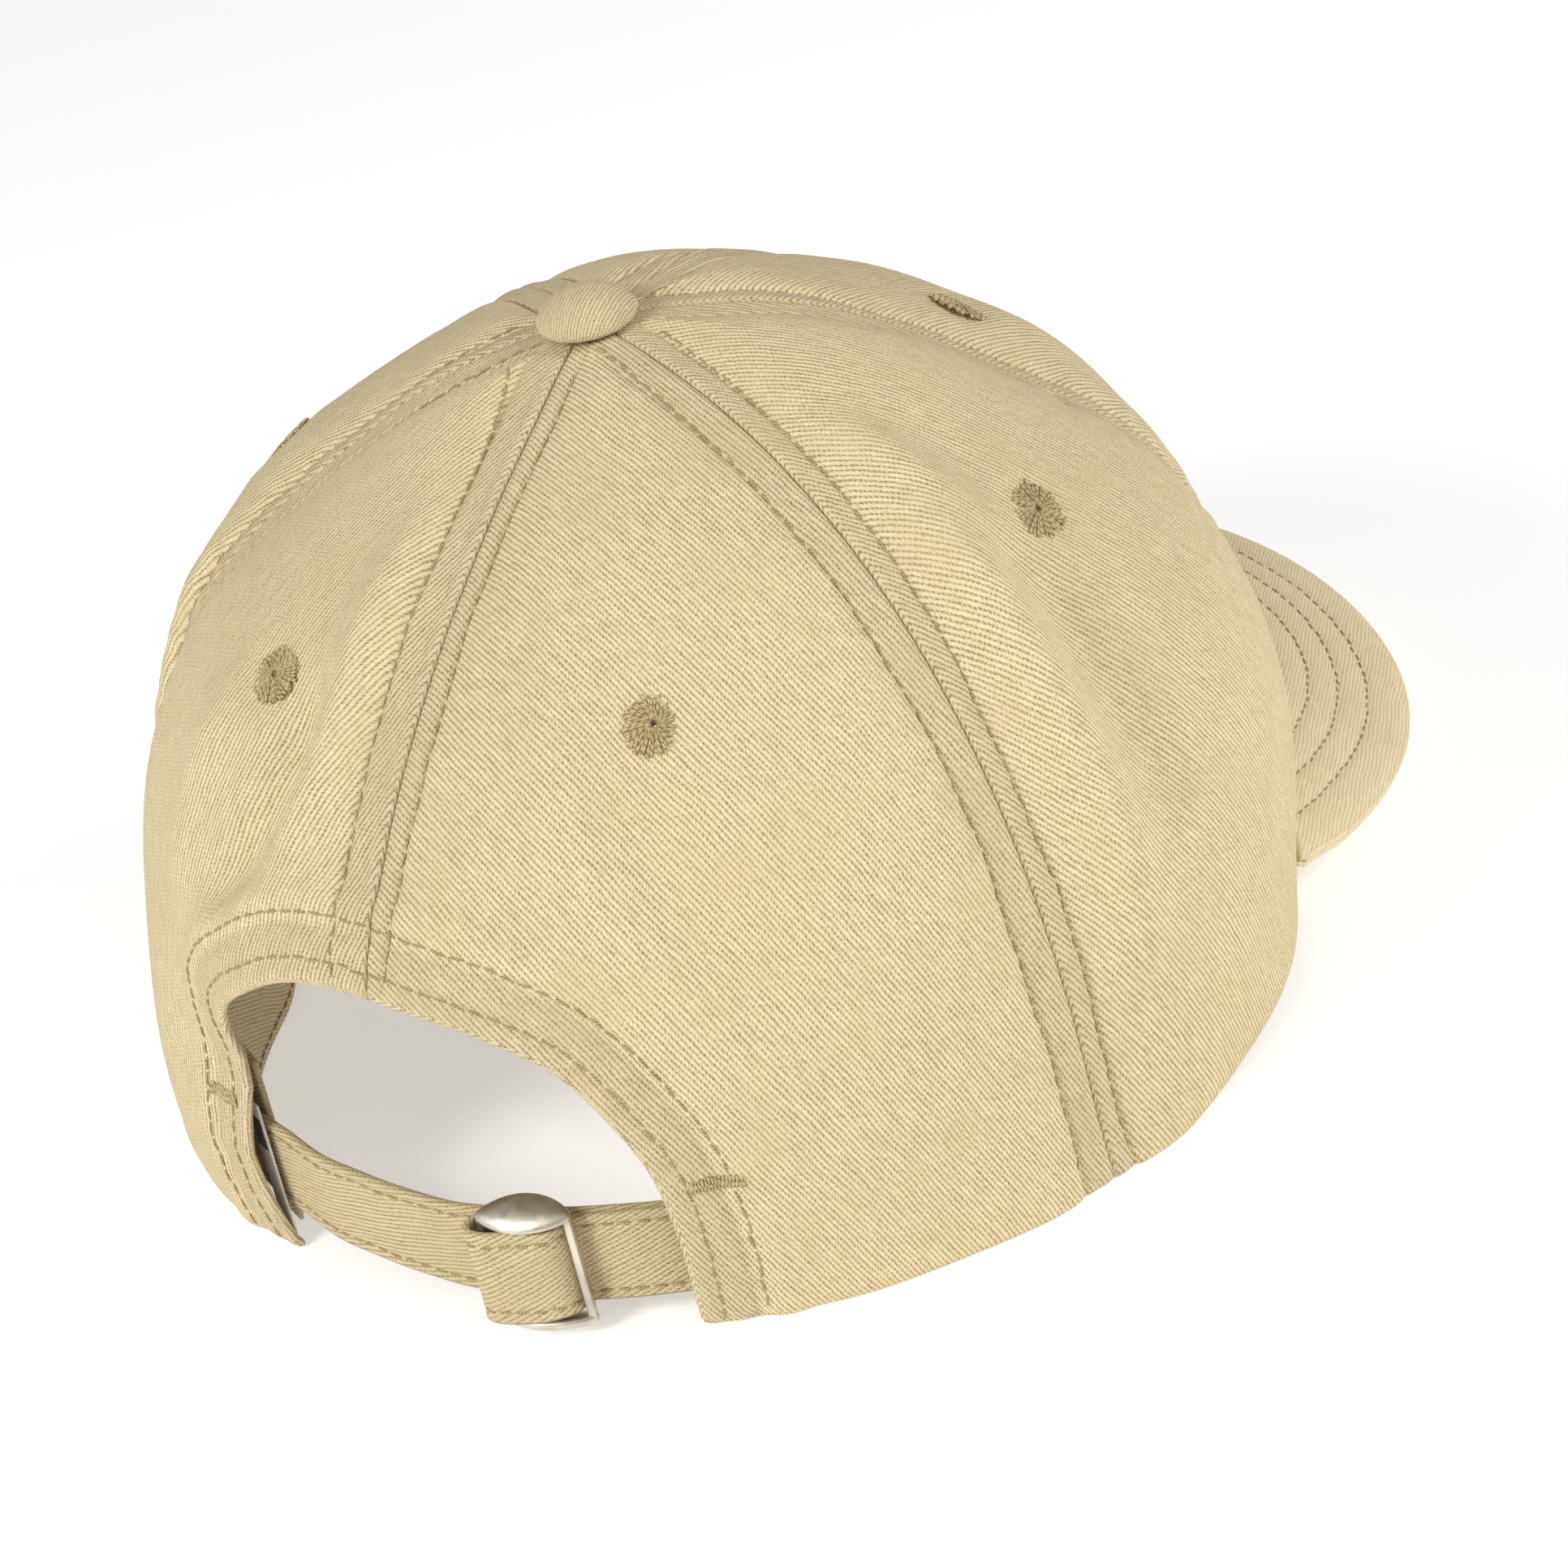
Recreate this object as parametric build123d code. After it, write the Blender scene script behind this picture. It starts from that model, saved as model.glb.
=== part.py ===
from build123d import *
import math
import os

# Six-panel soft cap with a pre-curved visor and a fabric strap closure.
# Frame: millimetres, +Z up, visor towards -Y, strap opening towards +Y.
# The origin is the centre of the head opening, on the plane the cap stands on.

# ---------------------------------------------------------------- crown size
CROWN_H = 125.0            # height of the crown's top above the standing plane
APEX_Y = -8.0              # the top sits a little forward of the opening's centre
HEM_R = (90.8, 2.8, -6.3, 2.2)     # hem radius: mean, cos, cos 2, cos 3 terms
MID_R = (104.4, -1.5, 3.3, 10.2)     # fullness of the lower crown
SHOULDER_R = (74.7, 0.6, -2.3, -4.5) # fullness of the upper crown
CAP_R = (37.6, -16.2, -8.3)         # fullness round the button
LEVELS = (0.5375, 0.7865, 0.9875)   # relative heights of the three fullness rings
HEM_RISE = 25.0            # the front hem rises this far above the standing plane
HEM_RISE_FROM = 70.0       # degrees from the back where the hem leaves the plane
SEAM_BACK = (69.9, -0.5)   # side-back seams, degrees from the back, and drift
SEAM_FRONT = (128.6, 3.3)  # side-front seams, degrees from the back, and drift
PANEL_T = 1.0              # twill panel with its backing
PANEL_GAP = 0.4            # clear gap between neighbouring panels at a seam
TOP_T = 0.962              # panels stop short of the apex, under the button

# ---------------------------------------------------------------- inner trim
TAPE_T = 0.6
TAPE_W = 12.0
TAPE_GAP = 0.15
FACING_T = 0.8
FACING_W = 12.0
BAND_T = 1.2
BAND_LOW, BAND_HIGH = 1.0, 31.0
BAND_DEPTH = 2.3           # band sits this far inside the crown's outer skin
BAND_BACK_R = 82.6         # radius of the band where the strap pocket lies behind it
BAND_END = 31.0            # degrees from the back where the band ends

# ---------------------------------------------------------------- back opening
# Edge of the opening in x, z, from the wearer's left (+X) over the top to the wearer's right.
# The crown sags a little to the right, so the opening's top stands left of the centre seam.
ARCH = [(40.0, -6.0), (40.0, 0.4), (41.8, 10.0), (42.8, 20.0), (42.6, 29.0), (41.6, 36.0), (39.6, 43.2), (36.6, 48.6),
        (32.6, 52.4), (28.0, 55.4), (22.8, 58.1), (16.5, 60.2), (8.5, 61.0), (0.0, 60.2), (-8.0, 58.6), (-15.5, 56.6),
        (-22.0, 53.9), (-27.8, 50.7), (-33.4, 45.0), (-37.1, 39.0), (-39.8, 32.8), (-41.1, 26.6), (-41.6, 16.3),
        (-41.1, 9.5), (-40.0, 0.4), (-40.0, -6.0)]
ARCH_AT_SEAM = 60.2        # height of the opening's edge at the back seam

# ---------------------------------------------------------------- strap closure
STRAP_LOW, STRAP_HIGH = 4.0, 20.0
STRAP_R = (83.6, 85.0)     # long strap, inner and outer radius
STRAP_FROM, STRAP_TO = -46.0, 58.0
TAIL_R = (85.3, 86.5)      # front ply that carries the buckle
TAIL_TO = 60.5
BUCKLE_AT = 10.8           # degrees from the back, towards the wearer's right
BAR_R = 87.9               # radius of the buckle's centre bar from the crown axis
BAR_D = 1.8
LOOP_HALF = 5.6            # half width of the fabric loop over the bar
BUCKLE_W = 15.8
SIDE_BAR_W, SIDE_BAR_T = 1.3, 1.5
RAIL_T = 1.5
RAIL_DEPTH = 7.0
RAIL_GAP = 0.7             # strap edge to rail

# ---------------------------------------------------------------- visor
VISOR_W = 88.6             # half width
VISOR_L = 67.0             # tip in front of the front hem
VISOR_SLOPE = 0.22         # fall towards the tip
VISOR_CURVE = 0.0066       # cross curvature, 1 / mm
VISOR_FULL = 0.64         # outline fullness exponent
BOARD_T = 1.8
COVER_T = 0.7
COVER_GAP = 0.1

# ---------------------------------------------------------------- button, eyelets
BUTTON_R = 8.0
BUTTON_H = 5.2
EYELET_R = 5.2
EYELET_HOLE = 0.9
EYELET_CUT = 1.8
EYELETS = {
    "back_left": (-29.1, 0.505), "back_right": (34.3, 0.483),
    "side_left": (-92.0, 0.560), "side_right": (96.6, 0.502),
    "front_left": (-148.0, 0.555), "front_right": (146.0, 0.565),
}


def smooth(x):
    x = max(0.0, min(1.0, x))
    return x * x * (3 - 2 * x)


def hem_z(phi):
    a = abs((phi + 180.0) % 360.0 - 180.0)
    return HEM_RISE * smooth((a - HEM_RISE_FROM) / (180.0 - HEM_RISE_FROM))


def crown(phi, t):
    """Point of the crown's outer skin. phi in degrees from +Y towards -X; t is 0 at the hem and 1 at the apex."""
    p = math.radians(phi)
    c1, c2, c3 = math.cos(p), math.cos(2 * p), math.cos(3 * p)
    r0 = HEM_R[0] + HEM_R[1] * c1 + HEM_R[2] * c2 + HEM_R[3] * c3
    r1 = MID_R[0] + MID_R[1] * c1 + MID_R[2] * c2 + MID_R[3] * c3
    r2 = SHOULDER_R[0] + SHOULDER_R[1] * c1 + SHOULDER_R[2] * c2 + SHOULDER_R[3] * c3
    r3 = CAP_R[0] + CAP_R[1] * c1 + CAP_R[2] * c2
    u = 1 - t
    b = (u**4, 4 * u**3 * t, 6 * u * u * t * t, 4 * u * t**3, t**4)
    rho = b[0] * r0 + b[1] * r1 + b[2] * r2 + b[3] * r3
    q = b[1] * LEVELS[0] + b[2] * LEVELS[1] + b[3] * LEVELS[2] + b[4]
    zh = hem_z(phi)
    return (-math.sin(p) * rho, math.cos(p) * rho + APEX_Y * smooth(t), zh + (CROWN_H - zh) * q)


def normal(phi, t):
    e = 1e-3
    a = crown(phi - 0.2, t)
    b = crown(phi + 0.2, t)
    c = crown(phi, max(t - e, -0.05))
    d = crown(phi, t + e)
    u = [b[i] - a[i] for i in range(3)]
    v = [d[i] - c[i] for i in range(3)]
    n = (u[1] * v[2] - u[2] * v[1], u[2] * v[0] - u[0] * v[2], u[0] * v[1] - u[1] * v[0])
    m = math.sqrt(sum(x * x for x in n))
    n = [x / m for x in n]
    out = (-math.sin(math.radians(phi)), math.cos(math.radians(phi)), 0.6)
    if sum(n[i] * out[i] for i in range(3)) < 0:
        n = [-x for x in n]
    return n


def skin(phi, t, depth):
    """Point of the crown at a depth inside its outer skin."""
    p, n = crown(phi, t), normal(phi, t)
    return tuple(p[i] - n[i] * depth for i in range(3))


def rho_at(phi, t):
    p = crown(phi, t)
    return max(math.hypot(p[0], p[1] - APEX_Y * smooth(t)), 1.0)


def t_at(phi, z, depth=0.0):
    lo, hi = -0.03, 1.0
    for _ in range(40):
        mid = (lo + hi) / 2
        if skin(phi, mid, depth)[2] < z:
            lo = mid
        else:
            hi = mid
    return (lo + hi) / 2


def closed(outer, inner):
    """Closed solid between two point grids of the same shape."""
    fo = Face.make_surface_from_array_of_points([[Vector(*q) for q in row] for row in outer], tol=2e-3)
    fi = Face.make_surface_from_array_of_points([[Vector(*q) for q in row] for row in inner], tol=2e-3)
    faces = [fo, fi]
    inner_edges = list(fi.edges())
    for e in fo.edges():
        mid = e.position_at(0.5)
        mate = min(inner_edges, key=lambda f: (f.position_at(0.5) - mid).length)
        inner_edges.remove(mate)
        faces.append(Face.make_surface_from_curves(e, mate))
    solid = Solid(Shell(faces))
    if solid.volume < 0:
        solid = Solid(Shell([-f for f in faces]))
    return solid


def lerp(a, b, k):
    return a + (b - a) * k


def shell_patch(phi_a, phi_b, t_a, t_b, d_out, d_in, n_phi, n_t, gap=0.0, top_power=1.0):
    """Shell between two seams. phi_a and phi_b are functions of t; gap is the clear distance kept at each side."""
    rows_o, rows_i = [], []
    for j in range(n_t):
        t = lerp(t_a, t_b, (j / (n_t - 1)) ** top_power)
        g = math.degrees(gap / rho_at(lerp(phi_a(t), phi_b(t), 0.5), t))
        a, b = phi_a(t) + g, phi_b(t) - g
        ro, ri = [], []
        for i in range(n_phi):
            phi = lerp(a, b, i / (n_phi - 1))
            ro.append(skin(phi, t, d_out))
            ri.append(skin(phi, t, d_in))
        rows_o.append(ro)
        rows_i.append(ri)
    return closed(rows_o, rows_i)


def seam_back(side):
    return lambda t: side * (SEAM_BACK[0] + SEAM_BACK[1] * t)


def seam_front(side):
    return lambda t: side * (SEAM_FRONT[0] + SEAM_FRONT[1] * t)


def axis_frame(phi, t, depth=0.0):
    """Plane whose Z is the crown's outward normal."""
    n = normal(phi, t)
    p = skin(phi, t, depth)
    up = Vector(0, 0, 1)
    z = Vector(*n)
    x = up.cross(z).normalized()
    return Plane(origin=Vector(*p), x_dir=x, z_dir=z)


def arch_prism(grow, low=-6.0):
    full = []
    last = len(ARCH) - 1
    for k, (x, z) in enumerate(ARCH):
        a = ARCH[max(k - 1, 0)]
        b = ARCH[min(k + 1, last)]
        tx, tz = b[0] - a[0], b[1] - a[1]
        m = math.hypot(tx, tz)
        nx, nz = tz / m, -tx / m
        full.append((x + nx * grow, low if k in (0, last) else z + nz * grow))
    with BuildPart() as bp:
        with BuildSketch(Plane.XZ.offset(-130)) as sk:
            with BuildLine():
                Spline(*full)
                Line(full[-1], full[0])
            make_face()
        extrude(amount=90)
    return bp.part


def arc_band(r_in, r_out, z_low, z_high, a_from, a_to):
    """Vertical band on a cylinder about the crown axis, between two angles from +Y towards -X."""
    n = max(3, int(abs(a_to - a_from) / 10) + 2)

    def at(r, a):
        p = math.radians(a)
        return (-math.sin(p) * r, math.cos(p) * r)

    mid = (a_from + a_to) / 2
    with BuildPart() as bp:
        with BuildSketch(Plane.XY.offset(z_low)):
            with BuildLine():
                ThreePointArc(at(r_out, a_from), at(r_out, mid), at(r_out, a_to))
                Line(at(r_out, a_to), at(r_in, a_to))
                ThreePointArc(at(r_in, a_to), at(r_in, mid), at(r_in, a_from))
                Line(at(r_in, a_from), at(r_out, a_from))
            make_face()
        extrude(amount=z_high - z_low)
    return bp.part


below = Pos(0, 0, -25) * Box(400, 400, 50)
arch_cut = arch_prism(0.0)

parts = {}

# ---------------------------------------------------------------- six panels
T_LOW = -0.006
panel_spans = {
    "back": (lambda t: 0.0, lambda t: seam_back(1)(t)),
    "side": (lambda t: seam_back(1)(t), lambda t: seam_front(1)(t)),
    "front": (lambda t: seam_front(1)(t), lambda t: 180.0),
}
for name, (fa, fb) in panel_spans.items():
    panel = shell_patch(fa, fb, T_LOW, TOP_T, 0.0, PANEL_T, 17, 26, gap=PANEL_GAP / 2)
    panel = panel - below
    for side, blank in (("right", panel), ("left", mirror(panel, about=Plane.YZ))):
        if name == "back":
            blank = blank - arch_cut
        e_phi, e_t = EYELETS[name + "_" + side]
        parts["panel_" + name + "_" + side] = blank - axis_frame(e_phi, e_t) * Cylinder(EYELET_CUT, 12)

# ---------------------------------------------------------------- eyelets
# Sewn thread ring: wide outer flange, barrel through the panel, narrow inner flange.
for name, (e_phi, e_t) in EYELETS.items():
    with BuildPart() as ring:
        with BuildSketch(Plane.XZ):
            with BuildLine():
                Polyline((EYELET_HOLE, 0.75), (2.2, 0.85), (4.6, 0.6), (EYELET_R, 0.3), (EYELET_R, 0.12), (EYELET_CUT - 0.1, 0.12),
                         (EYELET_CUT - 0.1, -1.2), (3.6, -1.2), (3.6, -1.6), (EYELET_HOLE, -1.6), close=True)
            make_face()
        revolve(axis=Axis.Z)
    parts["eyelet_" + name] = axis_frame(e_phi, e_t) * ring.part

# ---------------------------------------------------------------- seam tapes
d0 = PANEL_T + TAPE_GAP


def tape(centre, t_a, t_b):
    rows_o, rows_i = [], []
    for j in range(20):
        t = lerp(t_a, t_b, j / 19)
        phi = centre(t)
        half = math.degrees(min(TAPE_W / 2, 0.34 * rho_at(phi, t)) / rho_at(phi, t))
        ro, ri = [], []
        for i in range(5):
            q = phi + lerp(-half, half, i / 4)
            ro.append(skin(q, t, d0))
            ri.append(skin(q, t, d0 + TAPE_T))
        rows_o.append(ro)
        rows_i.append(ri)
    return closed(rows_o, rows_i)


TAPE_TOP = 0.90
parts["seam_tape_back"] = tape(lambda t: 0.0, t_at(0, ARCH_AT_SEAM + FACING_W + 2.5), TAPE_TOP)
parts["seam_tape_front"] = tape(lambda t: 180.0, 0.012, TAPE_TOP)
parts["seam_tape_back_left"] = tape(seam_back(-1), 0.012, TAPE_TOP)
parts["seam_tape_back_right"] = tape(seam_back(1), 0.012, TAPE_TOP)
parts["seam_tape_front_left"] = tape(seam_front(-1), 0.012, TAPE_TOP)
parts["seam_tape_front_right"] = tape(seam_front(1), 0.012, TAPE_TOP)

# ---------------------------------------------------------------- facing of the back opening
span = 50.0
facing = shell_patch(lambda t: -span, lambda t: span, T_LOW, t_at(0, ARCH_AT_SEAM + FACING_W + 8), d0, d0 + FACING_T, 31, 18)
facing = facing & arch_prism(FACING_W)
facing = facing - arch_cut - Pos(0, 0, 0.6) * below
parts["arch_facing"] = facing

# ---------------------------------------------------------------- sweatband
rows_o, rows_i = [], []
n_phi, n_z = 61, 6
for j in range(n_z):
    k = j / (n_z - 1)
    ro, ri = [], []
    for i in range(n_phi):
        phi = lerp(BAND_END, 360 - BAND_END, i / (n_phi - 1))
        a = abs((phi + 180) % 360 - 180)
        w = 1 - smooth((a - 76) / 28)
        z = hem_z(phi) + lerp(BAND_LOW, BAND_HIGH, k)
        t = t_at(phi, z, BAND_DEPTH)
        s = skin(phi, t, BAND_DEPTH)
        r = math.hypot(s[0], s[1])
        r = lerp(r, BAND_BACK_R, w)
        p = math.radians(phi)
        ro.append((-math.sin(p) * r, math.cos(p) * r, z))
        ri.append((-math.sin(p) * (r - BAND_T), math.cos(p) * (r - BAND_T), z))
    rows_o.append(ro)
    rows_i.append(ri)
parts["sweatband"] = closed(rows_o, rows_i)

# ---------------------------------------------------------------- visor
front_y = crown(180, 0)[1]


def visor_edge(s, inset=0.0):
    w, l = VISOR_W - inset, VISOR_L - inset
    y0 = 0.45 * front_y
    return (w * math.sin(s), y0 - (-front_y * 0.55 + l) * abs(math.cos(s)) ** VISOR_FULL)


def visor_z(x, y):
    return HEM_RISE + VISOR_SLOPE * (y - front_y) - VISOR_CURVE * x * x / 2


lowest = min(visor_z(*visor_edge(math.radians(a))) for a in range(-88, 89))
VISOR_LIFT = -(lowest - BOARD_T / 2 - COVER_GAP - COVER_T)


def hem_front(grow):
    pts = []
    for k in range(41):
        phi = lerp(114.0, 246.0, k / 40)
        p = crown(phi, 0)
        m = math.hypot(p[0], p[1])
        pts.append((p[0] * (1 + grow / m), p[1] * (1 + grow / m)))
    return pts


def visor_prism(inset):
    """Vertical prism of the visor's plan outline; inset shrinks it on every side."""
    inner = hem_front(1.6 + inset)
    if inset:
        inner = inner[1:-1]
    x0 = abs(inner[0][0])
    outer = [visor_edge(math.radians(a), inset) for a in list(range(-86, 87, 4)) if abs(visor_edge(math.radians(a), inset)[1]) > abs(inner[0][1]) + 3]
    outer = [q for q in outer]
    right_to_left = inner if inner[0][0] < 0 else list(reversed(inner))
    # outer runs from -X to +X, the inner edge back from +X to -X
    start, end = right_to_left[0], right_to_left[-1]
    with BuildPart() as bp:
        with BuildSketch(Plane.XY.offset(-60)):
            with BuildLine():
                Spline(start, *outer, end)
                Spline(*right_to_left)
            make_face()
        extrude(amount=160)
    return bp.part


def slab(low, high):
    """Sheet of the visor's curved form between two heights measured from its middle surface."""
    xs = [-110 + 10 * i for i in range(23)]
    y0 = -10.0
    lo_pts = [(x, y0, visor_z(x, y0) + VISOR_LIFT + low) for x in xs]
    hi_pts = [(x, y0, visor_z(x, y0) + VISOR_LIFT + high) for x in xs]
    e1 = Edge.make_spline([Vector(*q) for q in lo_pts])
    e2 = Edge.make_line(Vector(*lo_pts[-1]), Vector(*hi_pts[-1]))
    e3 = Edge.make_spline([Vector(*q) for q in reversed(hi_pts)])
    e4 = Edge.make_line(Vector(*hi_pts[0]), Vector(*lo_pts[0]))
    face = Face(Wire([e1, e2, e3, e4]))
    return Solid.extrude(face, Vector(0, -190, -190 * VISOR_SLOPE))


half = BOARD_T / 2
top = half + COVER_GAP + COVER_T
outline = visor_prism(0.0)
pocket = visor_prism(COVER_T + COVER_GAP)
parts["visor_board"] = slab(-half, half) & visor_prism(COVER_T + 2 * COVER_GAP + 1.0)
parts["visor_top_cover"] = (slab(0.05, top) & outline) - (slab(-0.5, half + COVER_GAP) & pocket)
parts["visor_under_cover"] = (slab(-top, -0.05) & outline) - (slab(-half - COVER_GAP, 0.5) & pocket)

# ---------------------------------------------------------------- button on top
b0 = CROWN_H + 0.1
with BuildPart() as bp:
    with BuildSketch(Plane.XZ):
        with BuildLine():
            Line((0, BUTTON_H), (0, BUTTON_H - 0.7))
            Spline((0, BUTTON_H - 0.7), (4.2, BUTTON_H - 1.3), (6.6, BUTTON_H - 3.0), (7.25, 0.8))
            Line((7.25, 0.8), (7.25, 0.0))
            Line((7.25, 0.0), (BUTTON_R - 0.15, 0.0))
            Spline((BUTTON_R - 0.15, 0.0), (BUTTON_R, 1.1), (7.1, BUTTON_H - 2.4), (4.4, BUTTON_H - 0.7), (0, BUTTON_H), tangents=((0.1, 1), (-1, 0)))
        make_face()
    revolve(axis=Axis.Z)
parts["button_cover"] = Pos(0, APEX_Y, b0) * bp.part
with BuildPart() as bp:
    with BuildSketch(Plane.XZ):
        with BuildLine():
            Line((0, 0), (7.0, 0))
            Line((7.0, 0), (7.0, 0.9))
            Spline((7.0, 0.9), (6.1, BUTTON_H - 3.1), (4.0, BUTTON_H - 1.75), (0, BUTTON_H - 1.1))
            Line((0, BUTTON_H - 1.1), (0, 0))
        make_face()
    revolve(axis=Axis.Z)
    Cylinder(1.5, 3.6, align=(Align.CENTER, Align.CENTER, Align.MAX))
parts["button_shell"] = Pos(0, APEX_Y, b0) * bp.part
with BuildPart() as bp:
    Cylinder(7.0, 0.8)
    Cylinder(1.55, 3, mode=Mode.SUBTRACT)
parts["button_washer"] = Pos(0, APEX_Y, CROWN_H - 3.3) * bp.part

# ---------------------------------------------------------------- strap, tail and buckle
parts["strap"] = arc_band(*STRAP_R, STRAP_LOW, STRAP_HIGH, STRAP_FROM, STRAP_TO)

# The tail: a ply in front of the strap, and a loop that rises over the buckle's bar.
to_buckle = Rot(0, 0, BUCKLE_AT)
r_in, r_out = TAIL_R
loop_t = r_out - r_in
gap_bar = 0.35
r_mid_under = (r_in + r_out) / 2
loop_top = BAR_R + BAR_D / 2 + gap_bar + loop_t
inner_line = [(-LOOP_HALF + 0.4, r_in), (-LOOP_HALF + 1.7, r_in + 0.5), (-2.7, r_in + 2.0), (-1.55, BAR_R + 0.45), (0, BAR_R + BAR_D / 2 + gap_bar), (1.55, BAR_R + 0.45), (2.7, r_in + 2.0), (LOOP_HALF - 1.7, r_in + 0.5), (LOOP_HALF - 0.4, r_in)]
outer_line = [(-LOOP_HALF - 0.5, r_in + 0.3), (-LOOP_HALF + 0.6, r_in + 1.4), (-3.7, r_in + 2.9), (-2.2, loop_top - 0.65), (0, loop_top), (2.2, loop_top - 0.65), (3.7, r_in + 2.9), (LOOP_HALF - 0.6, r_in + 1.4), (LOOP_HALF + 0.5, r_out)]
with BuildPart() as bp:
    with BuildSketch(Plane.XY.offset(STRAP_LOW)):
        with BuildLine():
            Spline(*outer_line)
            Line(outer_line[-1], (LOOP_HALF + 0.5, r_in))
            Line((LOOP_HALF + 0.5, r_in), inner_line[-1])
            Spline(*reversed(inner_line))
            Line(inner_line[0], (-LOOP_HALF - 0.5, r_in))
            Line((-LOOP_HALF - 0.5, r_in), outer_line[0])
        make_face()
    extrude(amount=STRAP_HIGH - STRAP_LOW)
# the loop is drawn with the tail's side at +X; the tail runs towards -X, so it is mirrored
loop = Rot(0, 0, BUCKLE_AT) * mirror(bp.part, about=Plane.YZ)
ply = arc_band(r_in, r_out, STRAP_LOW, STRAP_HIGH, BUCKLE_AT + math.degrees((LOOP_HALF + 0.2) / r_in), TAIL_TO)
cap_inner = arc_band(r_in, r_in + 6.0, STRAP_LOW, STRAP_HIGH, BUCKLE_AT - 5, BUCKLE_AT + 5)
loop = loop & cap_inner
parts["strap_tail"] = loop + ply

# Buckle: flat frame with bowed leaf-shaped rails, straight side bars and a round centre bar.
z_mid = (STRAP_LOW + STRAP_HIGH) / 2
half_open = (STRAP_HIGH - STRAP_LOW) / 2 + RAIL_GAP
side_r = 88.4
with BuildPart() as bp:
    for s in (-1, 1):
        with Locations((s * (BUCKLE_W / 2 - SIDE_BAR_W / 2), side_r, z_mid)):
            Box(SIDE_BAR_W, SIDE_BAR_T, 2 * (half_open + RAIL_T))
    with Locations((0, BAR_R, z_mid)):
        Cylinder(BAR_D / 2, 2 * (half_open + RAIL_T * 0.6))
    for z0 in (z_mid + half_open, z_mid - half_open - RAIL_T):
        with BuildSketch(Plane.XY.offset(z0)):
            with BuildLine():
                w, d = BUCKLE_W / 2, RAIL_DEPTH / 2
                rc = side_r - 0.1
                ThreePointArc((-w, rc), (0, rc + d), (w, rc))
                ThreePointArc((w, rc), (0, rc - d), (-w, rc))
            make_face()
        extrude(amount=RAIL_T)
        with Locations((0, side_r, z0 + RAIL_T / 2)):
            Box(BUCKLE_W, SIDE_BAR_T, RAIL_T)
parts["buckle"] = to_buckle * bp.part

# ---------------------------------------------------------------- care label behind the left edge
parts["care_label"] = arc_band(85.9, 86.5, 1.6, 26.0, -31.5, -25.6)

# ---------------------------------------------------------------- bar tacks at the ends of the opening
tacks = []
for side in (1, -1):
    phi = side * 31.4
    t = t_at(phi, 27.5)
    tacks.append(axis_frame(phi, t, -0.35) * Box(6.8, 2.0, 0.5))
parts["bar_tacks"] = Compound(children=[Solid(x.solids()[0].wrapped) for x in tacks])

# ---------------------------------------------------------------- write
if __name__ == "__main__":
    os.makedirs("parts", exist_ok=True)
    for name, shape in parts.items():
        export_step(shape, f"parts/{name}.step")
    boxes = [shape.bounding_box() for shape in parts.values()]
    print("X", min(b.min.X for b in boxes), max(b.max.X for b in boxes))
    print("Y", min(b.min.Y for b in boxes), max(b.max.Y for b in boxes))
    print("Z", min(b.min.Z for b in boxes), max(b.max.Z for b in boxes))
    print("visor lift", VISOR_LIFT, "nodes", len(parts))
    print("strap cut length", math.radians(STRAP_TO - STRAP_FROM) * sum(STRAP_R) / 2)
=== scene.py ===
import math

import bmesh
import bpy
import numpy as np
from mathutils import Matrix, Vector


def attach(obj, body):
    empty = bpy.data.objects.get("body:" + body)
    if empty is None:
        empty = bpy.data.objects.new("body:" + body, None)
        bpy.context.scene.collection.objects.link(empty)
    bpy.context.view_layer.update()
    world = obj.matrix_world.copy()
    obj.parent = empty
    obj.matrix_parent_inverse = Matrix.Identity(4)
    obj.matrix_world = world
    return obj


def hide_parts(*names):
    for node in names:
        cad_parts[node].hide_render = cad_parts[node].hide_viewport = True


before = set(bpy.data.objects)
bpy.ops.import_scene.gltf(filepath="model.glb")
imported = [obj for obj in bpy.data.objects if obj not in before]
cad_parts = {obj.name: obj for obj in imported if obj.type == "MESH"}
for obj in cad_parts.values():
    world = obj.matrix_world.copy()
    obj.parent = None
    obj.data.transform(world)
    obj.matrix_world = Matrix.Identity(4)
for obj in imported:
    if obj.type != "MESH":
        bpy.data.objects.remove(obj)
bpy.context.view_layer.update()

rng = np.random.default_rng(11)
PI = math.pi

# ------------------------------------------------------------------ the crown's surface, in millimetres
CROWN_H, APEX_Y = 125.0, -8.0
HEM_R = (90.8, 2.8, -6.3, 2.2)
MID_R = (104.4, -1.5, 3.3, 10.2)
SHOULDER_R = (74.7, 0.6, -2.3, -4.5)
CAP_R = (37.6, -16.2, -8.3)
LEVELS = (0.5375, 0.7865, 0.9875)
HEM_RISE, HEM_RISE_FROM = 25.0, 70.0
SEAMS = {  # name: (degrees from the back, drift, row distance before it, row distance after it)
    "back": (0.0, 0.0, 7.0, 3.5),
    "back_right": (69.9, -0.5, 5.6, 4.2),
    "front_right": (128.6, 3.3, 5.0, 5.0),
    "front": (180.0, 0.0, 5.2, 5.0),
    "front_left": (-128.6, -3.3, 5.0, 5.0),
    "back_left": (-69.9, 0.5, 4.6, 5.4),
}
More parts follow.
